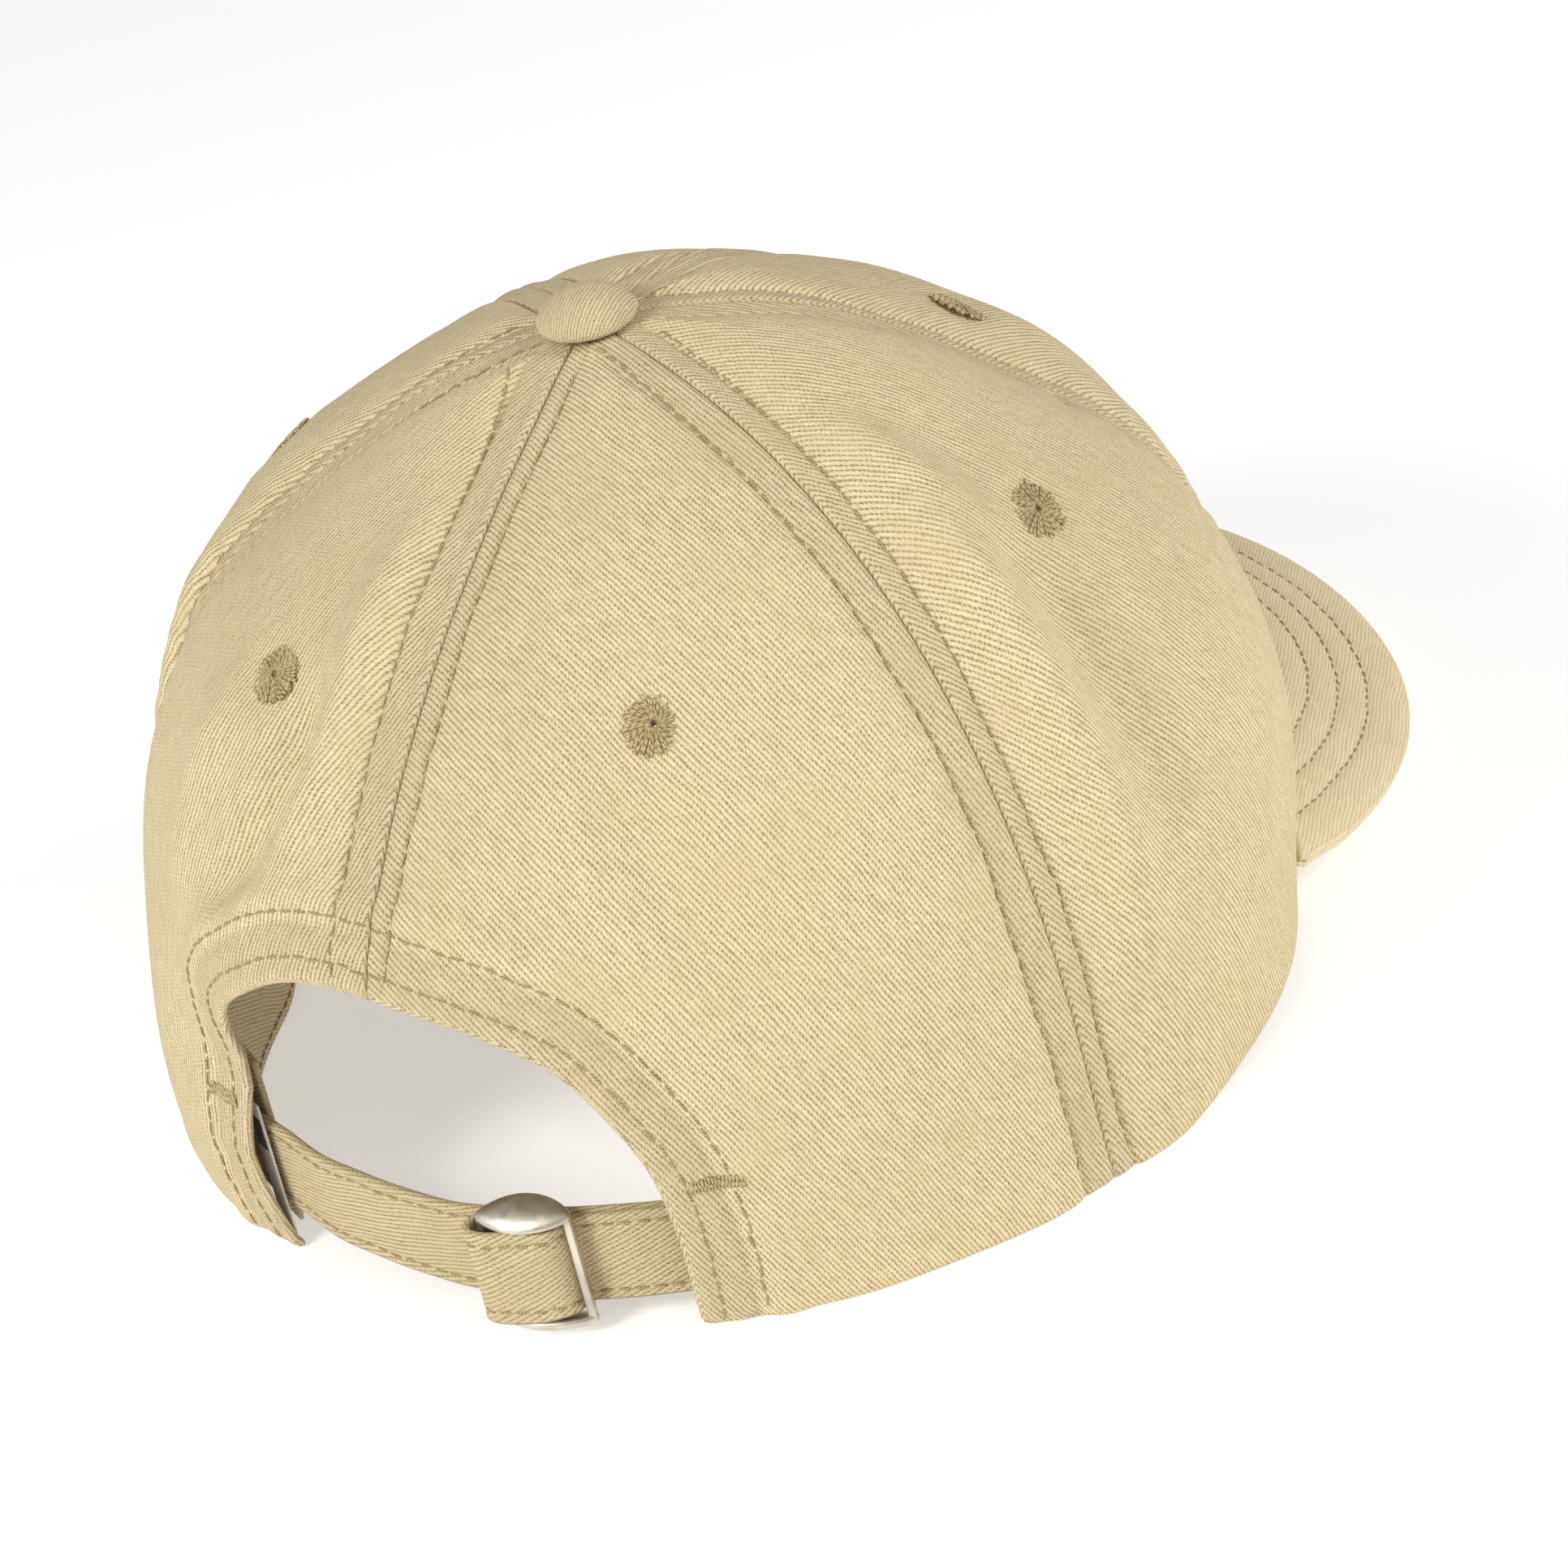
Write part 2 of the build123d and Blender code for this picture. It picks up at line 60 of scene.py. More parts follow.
ARCH = [(40.0, -6.0), (40.0, 0.4), (41.8, 10.0), (42.8, 20.0), (42.6, 29.0), (41.6, 36.0), (39.6, 43.2), (36.6, 48.6),
        (32.6, 52.4), (28.0, 55.4), (22.8, 58.1), (16.5, 60.2), (8.5, 61.0), (0.0, 60.2), (-8.0, 58.6), (-15.5, 56.6),
        (-22.0, 53.9), (-27.8, 50.7), (-33.4, 45.0), (-37.1, 39.0), (-39.8, 32.8), (-41.1, 26.6), (-41.6, 16.3),
        (-41.1, 9.5), (-40.0, 0.4), (-40.0, -6.0)]
ARCH_AT_SEAM = 60.2
ARCH_ROWS = (3.6, 9.3)
EYELETS = {
    "back_left": (-29.1, .505), "back_right": (34.3, .483), "side_left": (-92.0, .560),
    "side_right": (96.6, .502), "front_left": (-148.0, .555), "front_right": (146.0, .565),
}


def smooth(x):
    x = np.clip(x, 0.0, 1.0)
    return x * x * (3 - 2 * x)


def wrap(a):
    return (np.asarray(a, float) + 180.0) % 360.0 - 180.0


def hem_z(phi):
    return HEM_RISE * smooth((np.abs(wrap(phi)) - HEM_RISE_FROM) / (180.0 - HEM_RISE_FROM))


def crown(phi, t):
    phi, t = np.broadcast_arrays(np.asarray(phi, float), np.asarray(t, float))
    p = np.radians(phi)
    c1, c2, c3 = np.cos(p), np.cos(2 * p), np.cos(3 * p)
    r0 = HEM_R[0] + HEM_R[1] * c1 + HEM_R[2] * c2 + HEM_R[3] * c3
    r1 = MID_R[0] + MID_R[1] * c1 + MID_R[2] * c2 + MID_R[3] * c3
    r2 = SHOULDER_R[0] + SHOULDER_R[1] * c1 + SHOULDER_R[2] * c2 + SHOULDER_R[3] * c3
    r3 = CAP_R[0] + CAP_R[1] * c1 + CAP_R[2] * c2
    u = 1 - t
    b = (u**4, 4 * u**3 * t, 6 * u * u * t * t, 4 * u * t**3, t**4)
    rho = b[0] * r0 + b[1] * r1 + b[2] * r2 + b[3] * r3
    q = b[1] * LEVELS[0] + b[2] * LEVELS[1] + b[3] * LEVELS[2] + b[4]
    zh = hem_z(phi)
    return np.stack([-np.sin(p) * rho, np.cos(p) * rho + APEX_Y * smooth(t), zh + (CROWN_H - zh) * q], -1)


def rho_at(phi, t):
    p = crown(phi, t)
    return np.maximum(np.hypot(p[..., 0], p[..., 1] - APEX_Y * smooth(t)), 1.0)


def unit(v):
    return v / np.maximum(np.linalg.norm(v, axis=-1, keepdims=True), 1e-12)


def normal(phi, t):
    phi, t = np.broadcast_arrays(np.asarray(phi, float), np.asarray(t, float))
    u = crown(phi + 0.3, t) - crown(phi - 0.3, t)
    v = crown(phi, t + 1e-3) - crown(phi, t - 1e-3)
    n = unit(np.cross(u, v))
    out = np.stack([-np.sin(np.radians(phi)), np.cos(np.radians(phi)), 0 * phi + 0.6], -1)
    s = np.sign((n * out).sum(-1, keepdims=True))
    s[s == 0] = 1
    return n * s


def t_at(phi, z, depth=0.0):
    phi, z = np.broadcast_arrays(np.asarray(phi, float), np.asarray(z, float))
    lo, hi = np.full(phi.shape, -0.04), np.full(phi.shape, 0.9999)
    for _ in range(30):
        mid = (lo + hi) / 2
        zz = crown(phi, mid)[..., 2]
        if depth:
            zz = zz - normal(phi, mid)[..., 2] * depth
        low = zz < z
        lo, hi = np.where(low, mid, lo), np.where(low, hi, mid)
    return (lo + hi) / 2


def from_xz(x, z):
    """phi, t of the back of the crown at a sideways position and a height."""
    x, z = np.broadcast_arrays(np.asarray(x, float), np.asarray(z, float))
    phi = -np.degrees(np.arcsin(np.clip(x / 88.0, -1, 1)))
    t = t_at(phi, z)
    for _ in range(12):
        r = rho_at(phi, t)
        phi = -np.degrees(np.arcsin(np.clip(x / r, -.999, .999)))
        t = t_at(phi, z)
    return phi, t


def spline(points, n, ends=None):
    """Natural cubic through the points, n samples evenly spaced along its length."""
    p = np.asarray(points, float)
    d = np.concatenate([[0], np.cumsum(np.linalg.norm(np.diff(p, axis=0), axis=1))])
    m = len(p)
    h = np.diff(d)
    a = np.zeros((m, m)); b = np.zeros((m, p.shape[1]))
    a[0, 0] = a[-1, -1] = 1
    for i in range(1, m - 1):
        a[i, i - 1], a[i, i], a[i, i + 1] = h[i - 1], 2 * (h[i - 1] + h[i]), h[i]
        b[i] = 6 * ((p[i + 1] - p[i]) / h[i] - (p[i] - p[i - 1]) / h[i - 1])
    k = np.linalg.solve(a, b)

    def at(s):
        i = np.clip(np.searchsorted(d, s, side="right") - 1, 0, m - 2)
        x = (s - d[i])[:, None]; hi = h[i][:, None]
        return (k[i] * (hi - x)**3 + k[i + 1] * x**3) / (6 * hi) + (p[i] / hi - k[i] * hi / 6) * (hi - x) + (p[i + 1] / hi - k[i + 1] * hi / 6) * x
    s = np.linspace(0, d[-1], max(400, 4 * n))
    q = at(s)
    e = np.concatenate([[0], np.cumsum(np.linalg.norm(np.diff(q, axis=0), axis=1))])
    return at(np.interp(np.linspace(0, e[-1], n), e, s))


def resample(p, n):
    e = np.concatenate([[0], np.cumsum(np.linalg.norm(np.diff(p, axis=0), axis=1))])
    s = np.linspace(0, e[-1], n)
    return np.stack([np.interp(s, e, p[:, k]) for k in range(p.shape[1])], 1)


ARCH_XZ = spline(ARCH[1:-1], 401)   # from the wearer's left, over the top, to the right


def arch_offset(w, n=401):
    """The opening's edge in x, z, moved outward by w into the cloth."""
    p = ARCH_XZ
    t = unit(np.gradient(p, axis=0))
    nrm = np.stack([t[:, 1], -t[:, 0]], 1)
    return resample(p + nrm * w, n)


def arch_curve(w, n=401):
    q = arch_offset(w, n)
    keep = q[:, 1] > 0.15
    q = resample(q[keep], n)
    return from_xz(q[:, 0], q[:, 1])


_e = from_xz(ARCH_XZ[:, 0], np.maximum(ARCH_XZ[:, 1], 0.0))
ARCH_EDGE = crown(*_e)


def polyline_distance(P, line, chunk=20000):
    """Distance from points to a polyline, and how far along it the nearest point is (0 to 1)."""
    sh = P.shape[:-1]
    p = P.reshape(-1, 3)
    a, b = line[:-1], line[1:]
    ab = b - a
    l2 = (ab**2).sum(1)
    e = np.concatenate([[0], np.cumsum(np.sqrt(l2))])
    dist = np.empty(len(p)); along = np.empty(len(p))
    for i in range(0, len(p), chunk):
        q = p[i:i + chunk, None, :] - a[None]
        k = np.clip((q * ab).sum(-1) / l2, 0, 1)
        d = np.linalg.norm(q - k[..., None] * ab, axis=-1)
        j = d.argmin(1)
        r = np.arange(len(j))
        dist[i:i + chunk] = d[r, j]
        along[i:i + chunk] = (e[j] + k[r, j] * np.sqrt(l2[j])) / e[-1]
    return dist.reshape(sh), along.reshape(sh)


# ------------------------------------------------------------------ soft relief of the cloth
# Ridges and hollows: points on the crown, height, half width; each tapers off towards both ends.
FOLDS = [
    ([(-14.0, 38.0, 106.5), (-18.8, 50.2, 97.2), (-29.0, 67.1, 80.6), (-40.6, 73.7, 64.8), (-56.5, 71.2, 39.5), (-63.0, 66.0, 24.0)], 2.3, 6.0),
    ([(-24.0, 38.0, 103.0), (-38.0, 60.0, 84.0), (-52.0, 66.5, 62.8), (-66.5, 61.2, 39.5)], -1.1, 8.0),
    ([(-8.0, 62.0, 92.0), (-14.0, 76.0, 74.0), (-24.0, 82.0, 60.0)], -0.8, 6.5),
    ([(-44.0, -2.0, 113.0), (-60.0, 5.0, 102.0), (-72.1, 8.3, 89.2), (-85.3, 12.6, 65.3), (-91.5, 15.7, 42.0), (-92.0, 17.0, 24.0)], 2.1, 5.2),
    ([(-36.9, 0.2, 116.0), (-60.4, -1.0, 101.6), (-72.5, -1.5, 89.9)], 0.9, 3.6),
    ([(-66.0, -4.0, 96.0), (-76.4, -2.0, 85.5), (-88.5, 0.5, 66.6), (-95.5, 0.5, 45.7)], -1.3, 5.5),
    ([(16.0, 50.0, 98.0), (21.4, 58.2, 90.9), (24.4, 66.1, 83.4), (30.7, 73.1, 73.2), (38.0, 76.0, 60.0)], -1.9, 4.6),
    ([(12.3, 22.1, 113.9), (13.0, 44.0, 102.0), (15.1, 58.8, 91.9), (19.0, 74.3, 76.7), (22.0, 80.0, 66.0)], 1.5, 4.4),
    ([(38.0, 44.0, 94.0), (46.0, 60.0, 76.0), (52.0, 68.0, 54.0)], 1.3, 6.0),
    ([(60.0, 12.0, 100.0), (80.0, 18.0, 76.0), (90.0, 20.0, 44.0)], 1.2, 6.0),
    ([(66.0, -20.0, 98.0), (86.0, -24.0, 74.0), (93.0, -24.0, 46.0)], -1.0, 7.0),
    ([(30.0, -52.0, 104.0), (40.0, -74.0, 82.0), (46.0, -82.0, 56.0)], 1.1, 6.5),
    ([(-32.0, -50.0, 104.0), (-44.0, -72.0, 82.0), (-52.0, -80.0, 56.0)], 1.0, 6.5),
]
# Broad places where the soft crown stands inside or outside its plain shape: point, height, radius.
DENTS = [
    ((42.0, 8.0, 112.0), -2.6, 19.0), ((56.0, 20.0, 100.0), -1.2, 15.0), ((54.0, 66.0, 62.0), -1.7, 20.0),
    ((53.0, 73.0, 40.0), -1.6, 18.0), ((-36.0, -47.0, 110.0), -2.3, 20.0), ((-53.0, -50.0, 98.0), -2.4, 17.0),
    ((-97.0, -2.0, 10.0), -2.6, 26.0), ((-90.0, 28.0, 4.0), -1.0, 18.0), ((-1.0, -38.0, 120.0), 1.2, 14.0),
]
FOLD_LINES = [(spline(p, 26), a, w) for p, a, w in FOLDS]
WAVES = [(rng.normal(size=3) * 0.055, rng.uniform(0, 2 * PI), 0.20) for _ in range(7)]
SEAM_RAND = {k: rng.uniform(0, 2 * PI, 8) for k in SEAMS}


def seam_phi(name, t):
    return SEAMS[name][0] + SEAMS[name][1] * t


def relief(phi, t, P=None, near_arch=True):
    """Height of the cloth above the crown's plain surface, and how far it lies on a sewn band (0 to 1)."""
    phi, t = np.broadcast_arrays(np.asarray(phi, float), np.asarray(t, float))
    if P is None:
        P = crown(phi, t)
    rho = rho_at(phi, t)
    h = np.zeros(phi.shape)
    band = np.zeros(phi.shape)
    best = np.full(phi.shape, 1e9)
    part = np.zeros(phi.shape)
    bandpart = np.zeros(phi.shape)
    for name, (a, b, before, after) in SEAMS.items():
        d = np.radians(wrap(phi - seam_phi(name, t))) * rho
        row = np.where(d < 0, before, after)
        m = np.abs(d)
        k = SEAM_RAND[name]
        s = P[..., 2] * 1.25 + np.hypot(P[..., 0], P[..., 1]) * 0.4
        row = row + 0.25 * np.sin(s / 9.0 + k[0]) + 0.12 * np.sin(s / 3.1 + k[1])
        x = m - row
        pucker = (np.sin(s * 2 * PI / 7.3 + k[2]) + 0.8 * np.sin(s * 2 * PI / 4.7 + k[3]) + 0.7 * np.sin(s * 2 * PI / 12.0 + k[4])) * 0.085
        g = np.where(x < 0, 0.10 + 0.30 * np.exp(-((m - 1.5) / 1.0)**2), 0.0)
        g = g * (1 - np.exp(-(x / 0.6)**2)) - 0.46 * np.exp(-(x / 0.50)**2)
        g = g + np.where(x > 0, 1.55 * (1 - np.exp(-x / 3.4)), 0.0)
        g = g + pucker * 1.5 * np.exp(-(x / np.where(x < 0, 2.4, 5.0))**2)
        g = g - 0.45 * np.exp(-(m / 0.45)**2)
        nearer = m < best
        part = np.where(nearer, g, part)
        bandpart = np.where(nearer, 1 - smooth((x + 0.5) / 1.6), bandpart)
        best = np.where(nearer, m, best)
    top = smooth((rho - 7.0) / 14.0)
    h = h + (part - 1.0) * (0.35 + 0.65 * top)
    band = np.maximum(band, bandpart)
    for line, amp, w in FOLD_LINES:
        d, s = polyline_distance(P, line)
        h = h + 1.95 * amp * np.exp(-(d / (1.15 * w))**2) * smooth(s / 0.35) * smooth((1 - s) / 0.3) * smooth((best - 2.0) / 6.0)
    for c, a, w in DENTS:
        h = h + a * np.exp(-(((P - np.array(c))**2).sum(-1)) / (w * w))
    for k, ph, a in WAVES:
        h = h + a * np.sin(P @ k + ph) * smooth(best / 14.0) * 1.6
    # the sewn edge of the back opening
    if near_arch:
        w, s = polyline_distance(P, ARCH_EDGE)
        back = np.abs(wrap(phi)) < 70
        w = np.where(back, w, 99.0)
        q = s * 190.0
        for r0, depth in zip(ARCH_ROWS, (0.34, 0.40)):
            h = h - depth * np.exp(-((w - r0) / 0.6)**2)
        edge = np.exp(-(w / 11.5)**6)
        h = h * (1 - 0.75 * edge) + edge * 0.05
        h = h + 0.28 * np.exp(-((w - 6.4) / 1.8)**2) + 0.95 * np.exp(-((w - 13.4) / 3.2)**2)
        puck = (np.sin(q * 2 * PI / 6.4 + 1.0) + 0.7 * np.sin(q * 2 * PI / 9.7)) * 0.10
        h = h + puck * np.exp(-((w - 8.8) / 3.4)**2)
        h = h - 0.55 * np.exp(-(w / 1.1)**2)
        band = np.maximum(band, 1 - smooth((w - 9.0) / 1.6))
    # eyelets pull the cloth down a little
    for e_phi, e_t in EYELETS.values():
        c = crown(e_phi, e_t)
        d = np.linalg.norm(P - c, axis=-1)
        h = h - 0.40 * np.exp(-(d / 6.0)**2) + 0.22 * np.exp(-((d - 8.0) / 2.4)**2)
    # hem: turned edge and a gentle wave
    z = P[..., 2] - hem_z(phi)
    h = h - 0.45 * np.exp(-(np.maximum(z, 0) / 1.0)**2) * (np.abs(wrap(phi)) < 115)
    h = h + 0.5 * np.exp(-(z / 9.0)**2) * np.sin(np.radians(phi) * 11 + 0.6) * smooth((np.abs(wrap(phi)) - 33) / 12)
    return h, band


CURL_Z = np.array([-1.0, 0.0, 10.0, 19.0, 25.0, 31.0, 37.0, 44.0, 52.0, 60.0])
CURL_IN = np.array([3.0, 3.0, 3.1, 3.6, 5.0, 6.4, 6.2, 4.0, 1.6, 0.0])
CURL_X = np.array([1.2, 1.2, 1.2, 1.4, 2.2, 3.0, 2.6, 1.4, 0.4, 0.0])


def curl(P):
    """The free corner left of the opening rolls in against the strap; the right one stands a touch proud."""
    x, y, z = P[..., 0], P[..., 1], P[..., 2]
    d = np.hypot(x - 42.0, y - 80.0)
    w = np.where(x > 0, smooth(1 - d / 27.0), 0.0)
    out = P.copy()
    out[..., 1] = y - np.interp(z, CURL_Z, CURL_IN) * w
    out[..., 0] = x - np.interp(z, CURL_Z, CURL_X) * w
    d = np.hypot(x + 40.5, y - 81.5)
    w = smooth(1 - z / 30.0) * smooth(1 - d / 22.0)
    out[..., 1] = out[..., 1] + 0.5 * w
    return out


def on_cloth(phi, t, lift=0.0, depth=0.0, flat=False):
    """Point on the relief of the crown's cloth, its normal."""
    P = crown(phi, t)
    N = normal(phi, t)
    h = 0.0 if flat else relief(phi, t, P)[0][..., None]
    return curl(P + N * (h + lift - depth)), N


# ------------------------------------------------------------------ mesh making
def build(name, verts, faces, body, mats, coords=None, face_mat=None, fix=True, smooth_shade=True):
    """A mesh object from millimetre vertices; faces is a list of index arrays with 3 or 4 columns or plain lists."""
    me = bpy.data.meshes.new(name)
    v = np.array(verts, np.float64) * 0.001
    v[:, 2] = np.maximum(v[:, 2], 0.00003)
    loops, starts, totals = [], [], []
    n = 0
    for f in faces:
        f = np.asarray(f, np.int64)
        if f.ndim == 1:
            f = f[None]
        if not len(f):
            continue
        k = f.shape[1]
        loops.append(f.reshape(-1))
        starts.append(n + np.arange(len(f)) * k)
        totals.append(np.full(len(f), k))
        n += len(f) * k
    loops, starts, totals = np.concatenate(loops), np.concatenate(starts), np.concatenate(totals)
    me.vertices.add(len(v)); me.loops.add(len(loops)); me.polygons.add(len(starts))
    me.vertices.foreach_set("co", v.astype(np.float32).reshape(-1))
    me.loops.foreach_set("vertex_index", loops.astype(np.int32))
    me.polygons.foreach_set("loop_start", starts.astype(np.int32))
    me.polygons.foreach_set("loop_total", totals.astype(np.int32))
    for m in mats:
        me.materials.append(m)
    if face_mat is not None:
        me.polygons.foreach_set("material_index", np.asarray(face_mat, np.int32))
    me.update(calc_edges=True)
    me.validate()
    if coords is not None:
        at = me.attributes.new("cloth", "FLOAT_VECTOR", "POINT")
        at.data.foreach_set("vector", np.asarray(coords, np.float32).reshape(-1))
    if fix:
        bm = bmesh.new(); bm.from_mesh(me)
        bmesh.ops.recalc_face_normals(bm, faces=bm.faces)
        bm.to_mesh(me); bm.free()
    me.polygons.foreach_set("use_smooth", np.full(len(me.polygons), smooth_shade))
    me.update()
    ob = bpy.data.objects.new(name, me)
    bpy.context.scene.collection.objects.link(ob)
    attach(ob, body)
    return ob


def grid_faces(ni, nj, base=0, keep=None):
    i, j = np.meshgrid(np.arange(ni - 1), np.arange(nj - 1), indexing="ij")
    a = (i * nj + j + base)
    q = np.stack([a, a + 1, a + nj + 1, a + nj], -1)
    return q[keep] if keep is not None else q.reshape(-1, 4)


def shell(name, P, N, T, body, mats, uv, inner_uv=None, holes=None, rim=5):
    """Closed thin sheet: outer grid P, inner grid P - N*T, a rounded rim all round, round holes bridged."""
    ni, nj = P.shape[:2]
    T = np.broadcast_to(np.asarray(T, float), (ni, nj))
    Q = P - N * T[..., None]
    keep = np.ones((ni - 1, nj - 1), bool) if holes is None else ~holes
    faces_o = grid_faces(ni, nj, 0, keep)
    faces_i = grid_faces(ni, nj, ni * nj, keep)[:, ::-1]
    loop = [(i, 0) for i in range(ni)] + [(ni - 1, j) for j in range(1, nj)] + [(i, nj - 1) for i in range(ni - 2, -1, -1)] + [(0, j) for j in range(nj - 2, 0, -1)]
    li = np.array([a for a, b in loop]); lj = np.array([b for a, b in loop])
    B = np.zeros((ni, nj, 3))
    B[0] += unit(P[0] - P[1]); B[-1] += unit(P[-1] - P[-2])
    B[:, 0] += unit(P[:, 0] - P[:, 1]); B[:, -1] += unit(P[:, -1] - P[:, -2])
    b = unit(B[li, lj])
    n = N[li, lj]
    b = unit(b - n * (b * n).sum(1, keepdims=True))
    p, t = P[li, lj], T[li, lj][:, None]
    c = p - n * t / 2
    m = len(loop)
    verts = [P.reshape(-1, 3), Q.reshape(-1, 3)]
    coords = [uv.reshape(-1, 3), (inner_uv if inner_uv is not None else uv).reshape(-1, 3)]
    ids = [li * nj + lj]
    base = 2 * ni * nj
    for k in range(1, rim):
        a = PI * k / rim
        verts.append(c + n * (math.cos(a) * t / 2) + b * (math.sin(a) * t / 2))
        w = uv[li, lj].copy()
        w[:, 0] += a * t[:, 0] / 2
        coords.append(w)
        ids.append(base + np.arange(m)); base += m
    ids.append(ni * nj + li * nj + lj)
    faces = [faces_o, faces_i]
    fm = [np.zeros(len(faces_o), int), np.full(len(faces_i), min(1, len(mats) - 1))]
    for k in range(rim):
        a0, a1 = ids[k], ids[k + 1]
        f = np.stack([a0, np.roll(a0, -1), np.roll(a1, -1), a1], 1)
        faces.append(f); fm.append(np.zeros(len(f), int))
    if holes is not None and holes.any():
        h = holes
        bridge = []
        for i in range(ni - 1):
            for j in np.nonzero(h[i])[0]:
                if not h[i - 1, j]: bridge.append((i * nj + j, i * nj + j + 1))
                if not h[i + 1, j]: bridge.append(((i + 1) * nj + j, (i + 1) * nj + j + 1))
                if not h[i, j - 1]: bridge.append((i * nj + j, (i + 1) * nj + j))
                if not h[i, j + 1]: bridge.append((i * nj + j + 1, (i + 1) * nj + j + 1))
        bridge = np.array(bridge)
        faces.append(np.stack([bridge[:, 0], bridge[:, 1], bridge[:, 1] + ni * nj, bridge[:, 0] + ni * nj], 1))
        fm.append(np.zeros(len(bridge), int))
    verts, coords = np.concatenate(verts), np.concatenate(coords)
    # drop vertices that only removed cells used
    used = np.zeros(len(verts), bool)
    for f in faces:
        used[f.reshape(-1)] = True
    new = np.cumsum(used) - 1
    faces = [new[f] for f in faces]
    return build(name, verts[used], faces, body, mats, coords[used], np.concatenate(fm))


def tubes(centres, sides_u, sides_v, radius, nside=6, taper=True, flat=1.0):
    """Many small closed tubes. centres (S, R, 3), two cross directions the same shape, radius (S, R)."""
    S, R = centres.shape[:2]
    a = np.arange(nside) / nside * 2 * PI
    ring = (np.cos(a)[None, None, :, None] * sides_u[:, :, None, :] * flat + np.sin(a)[None, None, :, None] * sides_v[:, :, None, :])
    v = centres[:, :, None, :] + ring * radius[:, :, None, None]
    tips = np.stack([centres[:, 0], centres[:, -1]], 1)
    per = R * nside + 2
    verts = np.concatenate([v.reshape(S, R * nside, 3), tips], 1).reshape(-1, 3)
    r, s = np.meshgrid(np.arange(R - 1), np.arange(nside), indexing="ij")
    q = np.stack([r * nside + s, r * nside + (s + 1) % nside, (r + 1) * nside + (s + 1) % nside, (r + 1) * nside + s], -1).reshape(-1, 4)
    k = np.arange(nside)
    cap0 = np.stack([(k + 1) % nside, k, np.full(nside, R * nside)], 1)
    cap1 = np.stack([(R - 1) * nside + k, (R - 1) * nside + (k + 1) % nside, np.full(nside, R * nside + 1)], 1)
    off = (np.arange(S) * per)[:, None, None]
    seg = np.linalg.norm(np.diff(centres, axis=1), axis=2)
    L = np.concatenate([np.zeros((S, 1)), np.cumsum(seg, 1)], 1)
    rand = rng.uniform(0, 40, S)
    cv = np.empty((S, per, 3))
    cv[:, :R * nside, 0] = np.tile(a / (2 * PI), R)[None]
    cv[:, :R * nside, 1] = np.repeat(L, nside, axis=1) + rand[:, None]
    cv[:, R * nside:, 0] = 0.5
    cv[:, R * nside, 1] = L[:, 0] + rand; cv[:, R * nside + 1, 1] = L[:, -1] + rand
    cv[:, :, 2] = rng.uniform(0, 1, S)[:, None]
    return verts, [(q[None] + off).reshape(-1, 4), (np.concatenate([cap0, cap1])[None] + off).reshape(-1, 3)], cv.reshape(-1, 3)


def stitch_row(P, N, pitch=3.0, length=2.86, radius=0.215, sink=0.26, crown_h=0.15, start=0.0, jitter=1.0, lift=0.0):
    """Thread along a line of surface points: each stitch comes up, lies on the cloth and goes down again."""
    e = np.concatenate([[0], np.cumsum(np.linalg.norm(np.diff(P, axis=0), axis=1))])
    n = int((e[-1] - start) / pitch)
    if n < 1:
        return None
    s0 = start + np.arange(n) * pitch + rng.normal(0, 0.10, n) * jitter
    R = 9
    k = np.linspace(0, 1, R)
    s = s0[:, None] + (pitch - length) / 2 + k[None] * length
    at = np.stack([np.interp(s, e, P[:, i]) for i in range(3)], -1)
    nn = unit(np.stack([np.interp(s, e, N[:, i]) for i in range(3)], -1))
    tan = unit(np.gradient(at, axis=1))
    side = unit(np.cross(nn, tan))
    up = -sink + (sink + crown_h) * np.sin(PI * k)**0.42
    lat = rng.normal(0, 0.09, n)[:, None] * jitter + rng.normal(0, 0.10, n)[:, None] * (k[None] - 0.5) * 2 * jitter
    c = at + nn * (up[None, :, None] + lift) + side * lat[..., None]
    r = radius * (0.55 + 0.45 * np.sin(PI * k)**0.5)[None] * (1 + rng.normal(0, 0.05, n))[:, None]
    return tubes(c, side, nn, r)


def join(chunks):
    V, F, C, n = [], [], [], 0
    for c in chunks:
        if c is None:
            continue
        v, f, u = c
        V.append(v); C.append(u)
        for g in f:
            F.append(g + n)
        n += len(v)
    return np.concatenate(V), F, np.concatenate(C)


def threads(name, chunks, body, mat):
    v, f, c = join(chunks)
    return build(name, v, f, body, [mat], c, fix=False)


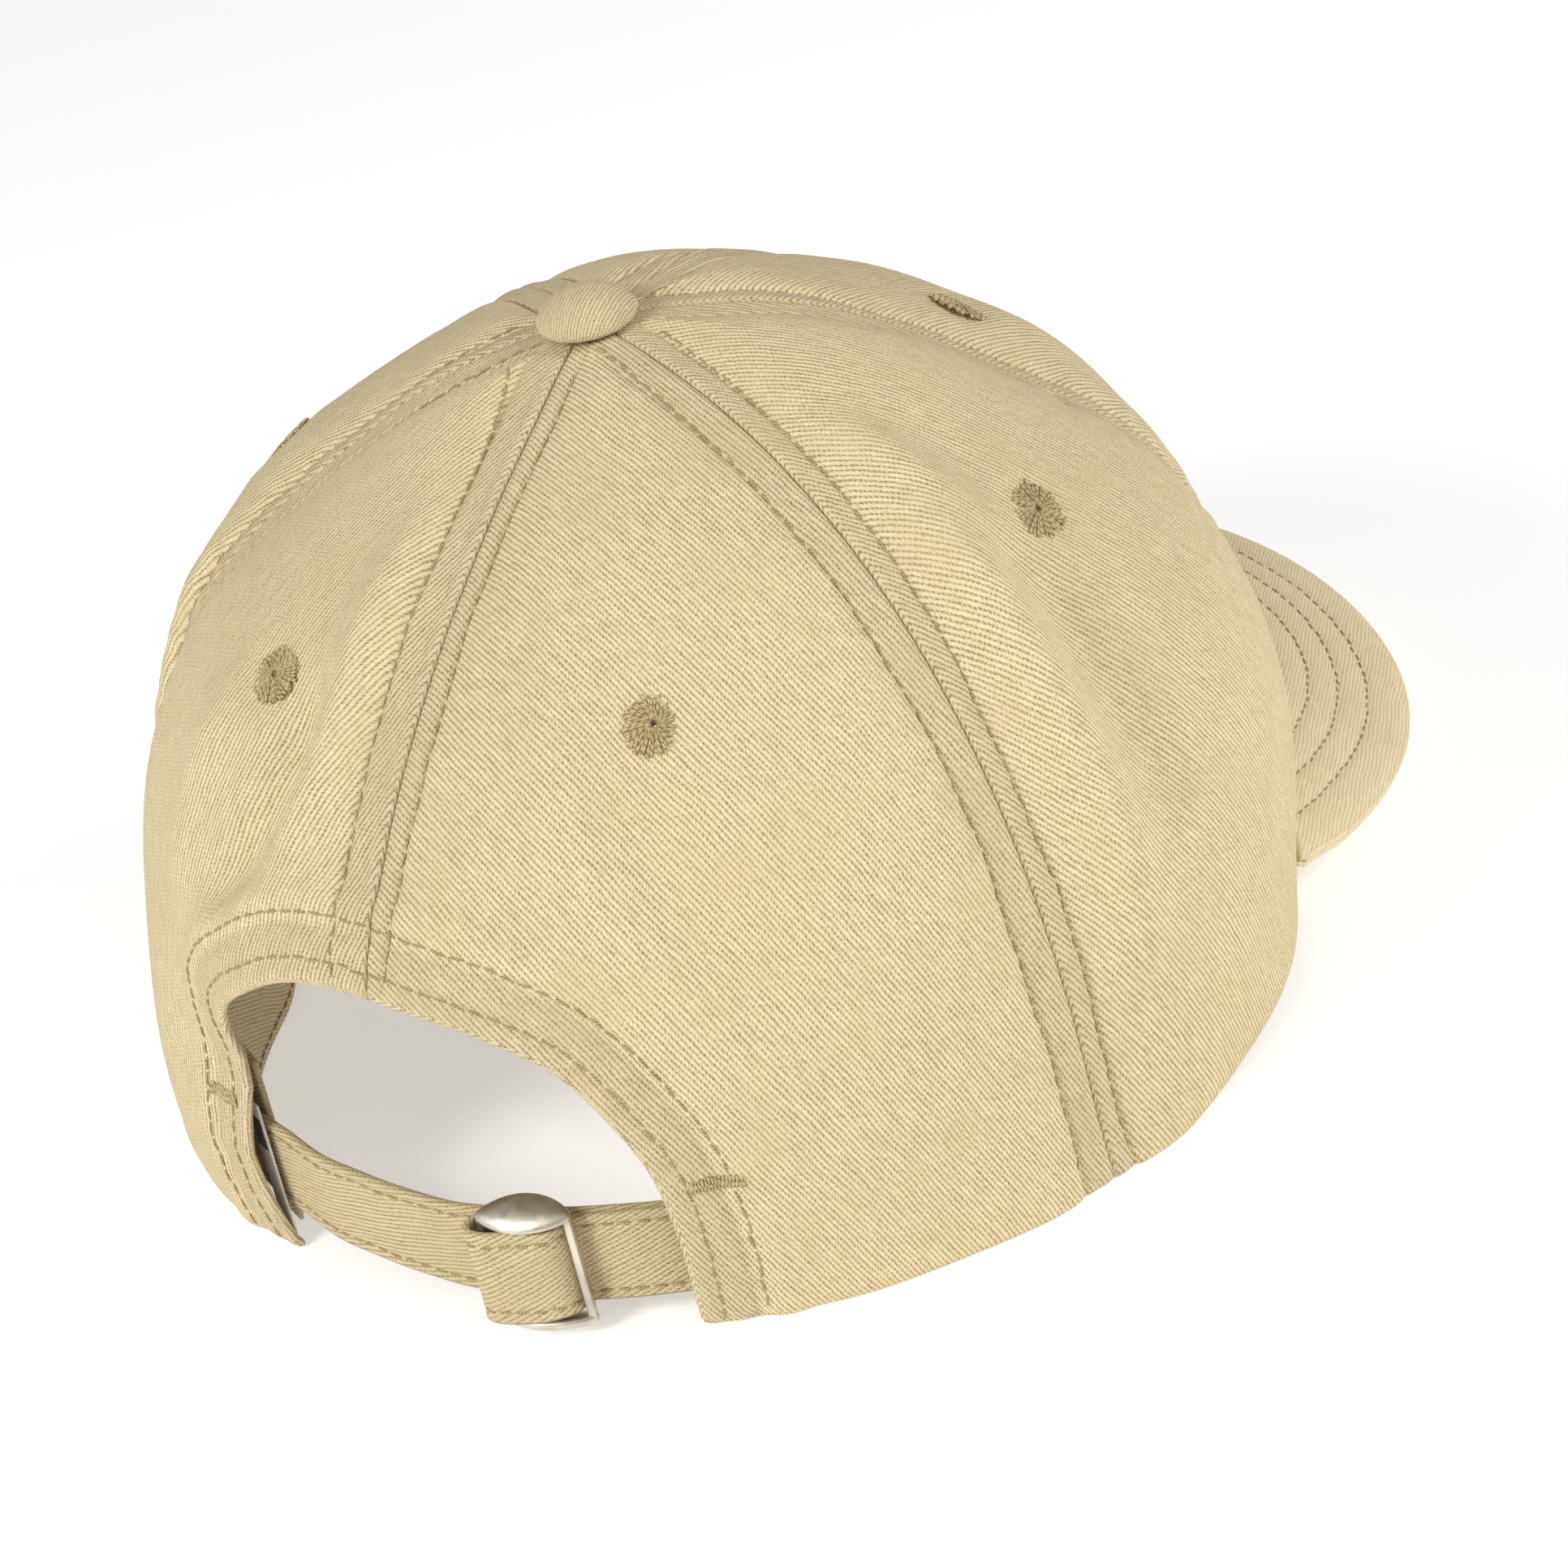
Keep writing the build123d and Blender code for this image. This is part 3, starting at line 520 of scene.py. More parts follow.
def sweep(name, C, U, V, profile, body, mats, uv0=0.0, wale=0.0, tint=0.0, scale_v=None):
    """Closed strip: a closed profile (m, 2) in the U, V directions carried along the centres C; tint fills the third
    cloth coordinate, which the twill turns into painted shade.
    """
    n, m = len(C), len(profile)
    pr = np.asarray(profile, float)
    if scale_v is None:
        scale_v = np.ones(n)
    verts = C[:, None] + U[:, None] * pr[None, :, 0:1] + V[:, None] * (pr[None, :, 1:2] * scale_v[:, None, None])
    L = np.concatenate([[0], np.cumsum(np.linalg.norm(np.diff(C, axis=0), axis=1))])
    e = np.concatenate([[0], np.cumsum(np.linalg.norm(np.diff(pr, axis=0), axis=1))])
    a, b = np.broadcast_arrays(L[:, None], e[None, :])
    q, r = rotate(a, b, wale)
    co = np.stack([q, r, np.full(a.shape, tint)], -1)
    i, j = np.meshgrid(np.arange(n - 1), np.arange(m), indexing="ij")
    f = np.stack([i * m + j, i * m + (j + 1) % m, (i + 1) * m + (j + 1) % m, (i + 1) * m + j], -1).reshape(-1, 4)
    caps = []
    vv, cc = [verts.reshape(-1, 3)], [co.reshape(-1, 3)]
    base = n * m
    for end, idx in ((0, np.arange(m)), (n - 1, (n - 1) * m + np.arange(m))):
        c = verts[end].mean(0)
        vv.append(c[None]); cc.append(co[end].mean(0)[None])
        caps.append(np.stack([idx, np.roll(idx, -1), np.full(m, base)], 1)); base += 1
    return build(name, np.concatenate(vv), [f, *caps], body, mats, np.concatenate(cc))


def rotate(a, b, wale):
    """Across-the-wale and along-the-wale coordinates, the wale at an angle from the a direction."""
    w = math.radians(wale)
    return -a * math.sin(w) + b * math.cos(w), a * math.cos(w) + b * math.sin(w)


# ------------------------------------------------------------------ materials
class Nodes:
    """Small helper that wires math nodes."""

    def __init__(self, name):
        self.mat = bpy.data.materials.new(name)
        self.mat.use_nodes = True
        self.t = self.mat.node_tree
        self.t.nodes.clear()
        self.out = self.t.nodes.new("ShaderNodeOutputMaterial")
        self.bsdf = self.t.nodes.new("ShaderNodeBsdfPrincipled")
        self.t.links.new(self.bsdf.outputs[0], self.out.inputs[0])

    def put(self, socket, value):
        if isinstance(value, bpy.types.NodeSocket):
            self.t.links.new(value, socket)
        else:
            socket.default_value = value

    def m(self, op, a, b=None, c=None, clamp=False):
        n = self.t.nodes.new("ShaderNodeMath")
        n.operation = op
        n.use_clamp = clamp
        for s, v in zip(n.inputs, (a, b, c)):
            if v is not None:
                self.put(s, v)
        return n.outputs[0]

    def noise(self, vec, scale, detail=2.0, rough=0.5, dim="3D"):
        n = self.t.nodes.new("ShaderNodeTexNoise")
        n.noise_dimensions = dim
        self.put(n.inputs["Vector"], vec)
        n.inputs["Scale"].default_value = scale
        n.inputs["Detail"].default_value = detail
        n.inputs["Roughness"].default_value = rough
        return n.outputs[0]

    def vec(self, x, y, z=0.0):
        n = self.t.nodes.new("ShaderNodeCombineXYZ")
        for s, v in zip(n.inputs, (x, y, z)):
            self.put(s, v)
        return n.outputs[0]

    def attribute(self, name="cloth"):
        n = self.t.nodes.new("ShaderNodeAttribute")
        n.attribute_name = name
        s = self.t.nodes.new("ShaderNodeSeparateXYZ")
        self.t.links.new(n.outputs["Vector"], s.inputs[0])
        return s.outputs[0], s.outputs[1], s.outputs[2], n.outputs["Vector"]

    def place(self):
        return self.t.nodes.new("ShaderNodeTexCoord").outputs["Object"]

    def mix(self, f, a, b):
        n = self.t.nodes.new("ShaderNodeMix")
        n.data_type = "RGBA"
        n.clamp_factor = True
        self.put(n.inputs[0], f)
        self.put(n.inputs[6], a if isinstance(a, bpy.types.NodeSocket) else (*a, 1.0))
        self.put(n.inputs[7], b if isinstance(b, bpy.types.NodeSocket) else (*b, 1.0))
        return n.outputs[2]

    def scale_colour(self, colour, factor):
        n = self.t.nodes.new("ShaderNodeVectorMath")
        n.operation = "SCALE"
        self.t.links.new(colour, n.inputs[0])
        self.put(n.inputs["Scale"], factor)
        return n.outputs[0]

    def ramp(self, f, lo, hi, a=0.0, b=1.0):
        n = self.t.nodes.new("ShaderNodeMapRange")
        n.interpolation_type = "SMOOTHSTEP"
        self.put(n.inputs[0], f)
        for k, v in zip((1, 2, 3, 4), (lo, hi, a, b)):
            self.put(n.inputs[k], v)
        return n.outputs[0]

    def bump(self, height, distance, strength=1.0):
        n = self.t.nodes.new("ShaderNodeBump")
        n.inputs["Strength"].default_value = strength
        n.inputs["Distance"].default_value = distance
        self.t.links.new(height, n.inputs["Height"])
        self.t.links.new(n.outputs[0], self.bsdf.inputs["Normal"])

    def set(self, **kw):
        for k, v in kw.items():
            self.put(self.bsdf.inputs[k.replace("_", " ")], v)


def srgb(r, g, b):
    return tuple((c / 255 / 12.92) if c / 255 <= 0.04045 else ((c / 255 + 0.055) / 1.055)**2.4 for c in (r, g, b))


def twill(name, crest, groove, worn, pitch=0.82, seg=0.74, depth=0.00020, strength=0.8, soft=0.0):
    """Diagonal weave: rounded yarn floats in slanted lines, with slubs, tone drift and warmer wear; the colour carries
    painted shade in the grooves and float gaps, and painted shade on the sewn bands from the third cloth coordinate.
    """
    n = Nodes(name)
    q, r, tint, vec = n.attribute()
    place = n.place()
    drift = n.noise(n.vec(n.m("MULTIPLY", q, 0.07), n.m("MULTIPLY", r, 0.07)), 1.0, 2.0)
    slub = n.noise(n.vec(n.m("MULTIPLY", q, 1.15), n.m("MULTIPLY", r, 0.22)), 1.0, 2.0)
    knot = n.noise(n.vec(n.m("MULTIPLY", q, 1.5), n.m("MULTIPLY", r, 1.1)), 1.0, 2.0)
    fine = n.noise(n.vec(n.m("MULTIPLY", n.m("ADD", q, r), 3.6), n.m("MULTIPLY", n.m("SUBTRACT", q, r), 1.0)), 1.0, 3.0, 0.62)
    q2 = n.m("ADD", q, n.m("MULTIPLY", n.m("SUBTRACT", drift, 0.5), 1.3))
    q2 = n.m("ADD", q2, n.m("MULTIPLY", n.m("SUBTRACT", knot, 0.5), 0.34))
    a = n.m("DIVIDE", q2, pitch)
    k = n.m("FLOOR", a)
    f = n.m("FRACT", a)
    side = n.m("ABSOLUTE", n.m("SUBTRACT", n.m("MULTIPLY", f, 2.0), 1.0))
    b = n.m("DIVIDE", n.m("ADD", r, n.m("MULTIPLY", f, 1.25)), seg)
    b = n.m("ADD", b, n.m("MULTIPLY", k, 0.37))
    b = n.m("ADD", b, n.m("MULTIPLY", n.m("SUBTRACT", slub, 0.5), 1.6))
    g = n.m("ABSOLUTE", n.m("SUBTRACT", n.m("MULTIPLY", n.m("FRACT", b), 2.0), 1.0))
    dash = n.m("MULTIPLY", n.m("POWER", side, 1.8), n.m("ADD", 0.50, n.m("MULTIPLY", g, 0.36)))
    h = n.m("SUBTRACT", n.m("SUBTRACT", 1.0, dash), n.m("MULTIPLY", n.m("POWER", g, 2.0), 0.18))
    h = n.m("ADD", h, n.m("MULTIPLY", n.m("SUBTRACT", fine, 0.5), 1.45))
    h = n.m("ADD", h, n.m("MULTIPLY", n.m("SUBTRACT", slub, 0.5), 0.50))
    n.bump(h, depth, strength)
    # painted shade: the colour runs from crest to groove with the weave's height, darker in the grooves and in the
    # gaps between floats
    tone = n.ramp(h, -0.10, 1.12)
    if soft:
        tone = n.m("ADD", n.m("MULTIPLY", tone, 1.0 - soft), soft * 0.55)
    col = n.mix(tone, groove, crest)
    cloud = n.noise(place, 34.0, 3.0, 0.55)
    warm = n.noise(place, 75.0, 3.0, 0.55)
    col = n.mix(n.ramp(warm, 0.45, 0.70, 0.0, 0.30), col, worn)
    shade = n.m("ADD", 0.945, n.m("MULTIPLY", n.m("ADD", n.m("MULTIPLY", cloud, 0.55), n.m("MULTIPLY", slub, 0.45)), 0.11))
    # painted shade: the third cloth coordinate darkens the recessed sewn bands along the seams and the opening, and
    # the sunken stitch rows on the visor
    shade = n.m("SUBTRACT", shade, n.m("MULTIPLY", tint, 0.10))
    n.set(Base_Color=n.scale_colour(col, shade), Roughness=n.ramp(h, 0.0, 1.0, 0.95, 0.84))
    n.bsdf.inputs["Specular IOR Level"].default_value = 0.18
    n.bsdf.inputs["Sheen Weight"].default_value = 0.08
    n.bsdf.inputs["Sheen Roughness"].default_value = 0.45
    n.bsdf.inputs["Sheen Tint"].default_value = (1.0, 0.96, 0.86, 1.0)
    return n.mat


def thread_mat(name, light, dark, ply=0.62, strands=2.0):
    """Twisted sewing thread, with painted shade in the grooves of the twist."""
    n = Nodes(name)
    a, s, k, vec = n.attribute()
    tw = n.m("FRACT", n.m("ADD", n.m("MULTIPLY", a, strands), n.m("DIVIDE", s, ply)))
    g = n.m("ABSOLUTE", n.m("SUBTRACT", n.m("MULTIPLY", tw, 2.0), 1.0))
    h = n.m("SUBTRACT", 1.0, n.m("POWER", g, 2.2))
    fib = n.noise(n.vec(n.m("MULTIPLY", a, 9.0), n.m("MULTIPLY", s, 2.0)), 1.0, 2.0)
    h = n.m("ADD", h, n.m("MULTIPLY", n.m("SUBTRACT", fib, 0.5), 0.4))
    n.bump(h, 0.00010, 0.8)
    # painted shade: dark where the twist dips, light on the plies
    col = n.mix(n.ramp(h, 0.1, 0.8), dark, light)
    n.set(Base_Color=n.scale_colour(col, n.m("ADD", 0.93, n.m("MULTIPLY", k, 0.12))), Roughness=n.ramp(h, 0, 1, 0.75, 0.55))
    n.bsdf.inputs["Specular IOR Level"].default_value = 0.35
    n.bsdf.inputs["Sheen Weight"].default_value = 0.10
    return n.mat


def plain_weave(name, light, dark, pitch=0.55, depth=0.00009):
    n = Nodes(name)
    q, r, tint, vec = n.attribute()
    a, b = n.m("DIVIDE", q, pitch), n.m("DIVIDE", r, pitch)
    s1 = n.m("SINE", n.m("MULTIPLY", a, PI)); s2 = n.m("SINE", n.m("MULTIPLY", b, PI))
    h = n.m("ADD", 0.5, n.m("MULTIPLY", n.m("MULTIPLY", s1, s2), 0.5))
    fine = n.noise(n.vec(n.m("MULTIPLY", q, 3.0), n.m("MULTIPLY", r, 3.0)), 1.0, 3.0)
    h = n.m("ADD", h, n.m("MULTIPLY", n.m("SUBTRACT", fine, 0.5), 0.6))
    n.bump(h, depth, 0.7)
    cloud = n.noise(n.place(), 60.0, 3.0)
    # painted shade: the darker colour where the crossing threads dip
    col = n.mix(n.ramp(h, 0.1, 0.9), dark, light)
    n.set(Base_Color=n.scale_colour(col, n.m("ADD", 0.94, n.m("MULTIPLY", cloud, 0.12))), Roughness=n.ramp(h, 0, 1, 0.93, 0.80))
    n.bsdf.inputs["Specular IOR Level"].default_value = 0.2
    n.bsdf.inputs["Sheen Weight"].default_value = 0.15
    return n.mat


def metal(name, base, low):
    n = Nodes(name)
    p = n.place()
    grain = n.noise(p, 2600.0, 3.0, 0.6)
    soft = n.noise(p, 420.0, 2.0, 0.5)
    blot = n.noise(p, 160.0, 2.0, 0.5)
    h = n.m("ADD", n.m("MULTIPLY", grain, 0.6), n.m("MULTIPLY", soft, 0.6))
    n.bump(h, 0.00004, 0.45)
    n.set(Base_Color=n.mix(n.ramp(blot, 0.35, 0.7), low, base), Roughness=n.ramp(soft, 0.3, 0.7, 0.40, 0.54))
    n.bsdf.inputs["Metallic"].default_value = 1.0
    return n.mat


def moulded(name, base, rough=0.5):
    n = Nodes(name)
    p = n.place()
    h = n.noise(p, 900.0, 3.0, 0.6)
    n.bump(h, 0.00003, 0.5)
    n.set(Base_Color=n.mix(n.ramp(n.noise(p, 90.0, 2.0), 0.3, 0.7), base, tuple(c * 0.93 for c in base)), Roughness=n.ramp(h, 0.3, 0.7, rough, rough + 0.12))
    return n.mat


# CREST: lit float colour; GROOVE: painted shade in the weave's grooves; WORN: random warmer wear
CREST, GROOVE, WORN = srgb(243, 226, 184), srgb(148, 129, 87), srgb(220, 195, 150)
M_TWILL = twill("twill", CREST, GROOVE, WORN)
M_STRAP = twill("twill_strap", srgb(226, 209, 167), srgb(146, 126, 86), srgb(206, 184, 142), pitch=0.76, seg=0.8)
M_VISOR = twill("twill_visor", srgb(246, 231, 192), srgb(202, 184, 142), srgb(226, 206, 164), pitch=0.60, seg=0.55, depth=0.00008)
M_BUTTON = twill("twill_button", srgb(232, 216, 176), srgb(158, 139, 98), srgb(214, 194, 152), pitch=0.62, seg=0.7)
# plain weaves: light threads, with the darker colour as painted shade where they dip; the label patch is dark cloth of
# its own
M_INSIDE = plain_weave("twill_reverse", srgb(216, 207, 184), srgb(186, 174, 146), pitch=0.7)
M_TAPE = plain_weave("tape_weave", srgb(222, 206, 168), srgb(186, 166, 124), pitch=0.6)
M_BAND = twill("sweatband_twill", srgb(232, 219, 184), srgb(166, 149, 110), srgb(214, 196, 156), pitch=0.72, seg=0.8)
M_LABEL = plain_weave("label_satin", srgb(240, 238, 232), srgb(206, 204, 196), pitch=0.3, depth=0.00004)
M_PATCH = plain_weave("label_patch", srgb(44, 43, 46), srgb(20, 20, 22), pitch=0.3, depth=0.00004)
# thread colours: light plies, and the dark colour as painted shade in the twist's grooves
M_THREAD = thread_mat("topstitch_thread", srgb(190, 171, 124), srgb(116, 99, 60), ply=0.7)
M_THREAD_DARK = thread_mat("visor_thread", srgb(184, 162, 116), srgb(124, 102, 64), ply=0.7)
M_EYELET = thread_mat("eyelet_thread", srgb(200, 180, 134), srgb(132, 112, 70), ply=1.1, strands=1.0)
M_METAL = metal("buckle_metal_satin", srgb(232, 228, 214), srgb(196, 190, 172))
M_SHELL = metal("button_metal_satin", srgb(200, 198, 192), srgb(170, 168, 160))
M_BOARD = moulded("board_sheet", srgb(226, 226, 220))

# ------------------------------------------------------------------ six panels
WALE = {"back_right": -60.0, "side_right": -68.0, "front_right": -71.0, "back_left": 90.0, "side_left": 94.0, "front_left": 78.0}
PANEL_T, EDGE_T = 0.95, 1.5
SPANS = {
    "side_right": ("back_right", "front_right"), "front_right": ("front_right", "front"),
    "side_left": ("front_left", "back_left"), "front_left": ("front", "front_left"),
}
FLAT = {}


def zone(total, edge_a, edge_b, fine, coarse):
    """Does nothing and returns None."""
    return None


def cloth_uv(P, centre_phi, name, tint):
    """Lay the panel flat about its middle and turn it to the direction of its wale; tint, the third coordinate, is
    painted shade for the sewn bands.
    """
    c = crown(centre_phi, 0.40)
    n = normal(centre_phi, 0.40)
    u = unit(np.cross(np.array([0, 0, 1.0]), n))
    if (crown(centre_phi + 1, .4) - c) @ u < 0:
        u = -u
    v = np.cross(n, u)
    if v[2] < 0:
        v = -v
    d = P - c
    a, b = d @ u, d @ v
    flat = np.hypot(a, b)
    k = np.linalg.norm(d, axis=-1) / np.maximum(flat, 1e-6)
    k = np.where(flat < 0.5, 1.0, np.minimum(k, 2.0))
    q, r = rotate(a * k, b * k, WALE[name])
    return np.stack([q, r, tint], -1)


def finish_panel(name, phi, t, centre_phi, arch=False):
    P0 = crown(phi, t)
    h, band = relief(phi, t, P0)
    N = normal(phi, t)
    P = curl(P0 + N * h[..., None])
    z = P0[..., 2] - hem_z(phi)
    T = PANEL_T + (EDGE_T - PANEL_T) * np.exp(-(np.maximum(z, 0) / 2.0)**2)
    if arch:
        w, _ = polyline_distance(P0, ARCH_EDGE)
        T = np.maximum(T, PANEL_T + 0.75 * np.exp(-(w / 1.3)**2))
    P[..., 2] = np.maximum(P[..., 2], 0.05)
    # round hole at the eyelet
    c = crown(*EYELETS[name])
    d = np.linalg.norm(P0 - c, axis=-1)
    mid = (d[:-1, :-1] + d[1:, :-1] + d[:-1, 1:] + d[1:, 1:]) / 4
    holes = mid < 1.45
    rim = np.zeros(d.shape, bool)
    for a, b in ((0, 0), (0, 1), (1, 0), (1, 1)):
        rim[a:a + holes.shape[0], b:b + holes.shape[1]] |= holes
    inside = np.ones(d.shape, bool)
    H = np.ones((d.shape[0] + 1, d.shape[1] + 1), bool); H[1:-1, 1:-1] = ~holes
    around = H[:-1, :-1].astype(int) + H[:-1, 1:] + H[1:, :-1] + H[1:, 1:]
    ring = rim & (around > 0)
    cp = P[ring].mean(0)
    v = P[ring] - cp
    P[ring] = cp + v / np.maximum(np.linalg.norm(v, axis=1, keepdims=True), 1e-6) * 1.6
    # the sewn-band share goes in as the third cloth coordinate: painted shade on the recessed bands
    uv = cloth_uv(P0, centre_phi, name, band)
    q = P[1:, 1:] - P[:-1, :-1]; r = P[1:, :-1] - P[:-1, 1:]
    area = np.linalg.norm(np.cross(q, r), axis=-1).sum() / 2
    w_max = np.linalg.norm(np.diff(P, axis=1), axis=-1).sum(1).max()
    l_max = np.linalg.norm(np.diff(P, axis=0), axis=-1).sum(0).max()
    FLAT[name] = (w_max, l_max, area)
    ob = shell("panel_" + name, P, N, T, "cap", [M_TWILL, M_INSIDE], uv, uv, holes)
    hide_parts("panel_" + name)
    return ob


PANELS = {}
NU, NV = 151, 214
for name, (sa, sb) in SPANS.items():
    # rows from the hem to the crown's top
    s = np.linspace(0, 1, NV)
    s = s - 0.055 * np.sin(2 * PI * s) / (2 * PI) * 2.2
    t = s * 0.985
    T2 = t[:, None]
    a, b = seam_phi(sa, T2), seam_phi(sb, T2)
    b = np.where(b < a, b + 360, b)
    mid = (a + b) / 2
    rho = rho_at(mid, T2)
    W = np.radians(b - a) * rho
    g = np.minimum(0.50, W * 0.06)
    edge = np.minimum(9.0, 0.36 * W)
    n1 = 27
    k = np.arange(NU)[None]
    x = np.where(k <= n1, g + (edge - g) * k / n1,
                 np.where(k >= NU - 1 - n1, W - g - (edge - g) * (NU - 1 - k) / n1,
                          edge + (W - 2 * edge) * (k - n1) / (NU - 1 - 2 * n1)))
    phi = a + (b - a) * x / W
    t = np.broadcast_to(T2, phi.shape)
    centre = float(mid[NV // 3, 0])
    PANELS[name] = finish_panel(name, phi, t, centre)


def azim(phi, t):
    p = np.radians(phi)
    return np.stack([-(1 - t) * np.sin(p), (1 - t) * np.cos(p)], -1)


def unazim(q):
    r = np.hypot(q[..., 0], q[..., 1])
    return np.degrees(np.arctan2(-q[..., 0], q[..., 1])), 1 - r


for side, name in ((1, "back_right"), (-1, "back_left")):
    # the opening's edge from its top down to the hem corner, pulled into the cloth by half the edge's thickness
    off = arch_offset(0.75, 801)
    top = int(np.argmin(np.abs(off[:, 0])))
    xz = off[top:] if side == 1 else off[:top + 1][::-1]
    xz = xz[xz[:, 1] >= 0.0]
    xz = np.vstack([xz, [[xz[-1, 0], 0.0]]])
    aphi, at = from_xz(xz[:, 0], xz[:, 1])
    gap = 0.5
    first = math.degrees(gap / rho_at(0.0, at[0]))
    aphi = np.where(np.abs(aphi) < first, side * first, aphi)
    n_f = 161
    arch = resample(azim(aphi, at), n_f)
    ks = np.linspace(0, 1, n_f)
    tt = 0.985 * (1 - ks)
    sb = side * 69.9 - side * 0.5 * tt
    sb = sb - side * np.degrees(gap / np.maximum(rho_at(sb, tt), 6.0))
    seam_side = azim(sb, tt)
    ct = at[0] + (0.985 - at[0]) * ks
    cphi = side * np.degrees(gap / np.maximum(rho_at(0.0, ct), 6.0)) + 0 * ks
    centre_line = azim(cphi, ct)
    seam_side[0] = centre_line[-1] = (seam_side[0] + centre_line[-1]) / 2
    hphi = aphi[-1] + (sb[-1] - aphi[-1]) * ks
    hem = azim(hphi, 0 * ks)
    arch[-1] = hem[0]; arch[0] = centre_line[0]; seam_side[-1] = hem[-1]
    I, J = np.meshgrid(ks, ks, indexing="ij")
    G = (1 - J)[..., None] * arch[:, None] + J[..., None] * seam_side[:, None] + (1 - I)[..., None] * centre_line[None] + I[..., None] * hem[None]
    G -= ((1 - I) * (1 - J))[..., None] * arch[0] + (I * (1 - J))[..., None] * arch[-1] + ((1 - I) * J)[..., None] * centre_line[-1] + (I * J)[..., None] * hem[-1]

    def respace(G, axis, n, ea, eb, na, nb):
        """Even out spacing along one axis, with na and nb fine cells in the end strips of ea and eb mm."""
        G = G if axis == 1 else G.transpose(1, 0, 2)
        phi, t = unazim(G)
        P = crown(phi, t)
        e = np.concatenate([np.zeros((len(P), 1)), np.cumsum(np.linalg.norm(np.diff(P, axis=1), axis=-1), 1)], 1)
        out = np.empty((len(P), n, 2))
        for i in range(len(P)):
            L = e[i, -1]
            a, b = min(ea, 0.3 * L), min(eb, 0.3 * L)
            s = np.concatenate([np.linspace(0, a, na, endpoint=False), np.linspace(a, L - b, n - na - nb, endpoint=False), np.linspace(L - b, L, nb)])
            for c in range(2):
                out[i, :, c] = np.interp(s, e[i], G[i, :, c])
        return out if axis == 1 else out.transpose(1, 0, 2)
    G = respace(G, 1, 190, 15.0, 9.0, 36, 26)
    G = respace(G, 0, 170, 9.0, 6.0, 26, 12)
    phi, t = unazim(G)
    t = np.maximum(t, 0.0)
    # outer grid runs from the opening to the side seam
    PANELS[name] = finish_panel(name, phi, t, side * 35.0, arch=True)

# ------------------------------------------------------------------ topstitching on the crown
rows = {}
for name, (a, b, before, after) in SEAMS.items():
    chunks = []
    for sgn, dist in ((-1, before), (1, after)):
        t0 = 0.012
        if name == "back":
            t0 = float(t_at(0.0, ARCH_AT_SEAM + 0.8))
        t = np.linspace(t0, 0.975, 900)
        phi0 = seam_phi(name, t)
        rho = rho_at(phi0, t)
        P0 = crown(phi0, t)
        s = P0[:, 2] * 1.25 + np.hypot(P0[:, 0], P0[:, 1]) * 0.4
        k = SEAM_RAND[name]
        d = dist + 0.25 * np.sin(s / 9.0 + k[0]) + 0.12 * np.sin(s / 3.1 + k[1])
        keep = rho > 9.5
        phi = (phi0 + sgn * np.degrees(d / rho))[keep]
        t = t[keep]
        if name == "back":
            q = crown(phi, t)
            w, _ = polyline_distance(q, ARCH_EDGE)
            phi, t = phi[w > 0.9], t[w > 0.9]
        P, N = on_cloth(phi, t)
        chunks.append(stitch_row(P, N, start=rng.uniform(0, 2)))
    ob = threads("topstitch_" + name, chunks, "cap", M_THREAD)
    rows[name] = ob

chunks = []
for w in ARCH_ROWS:
    phi, t = arch_curve(w, 700)
    P, N = on_cloth(phi, t)
    chunks.append(stitch_row(P, N, start=0.6))
threads("topstitch_opening", chunks, "cap", M_THREAD)

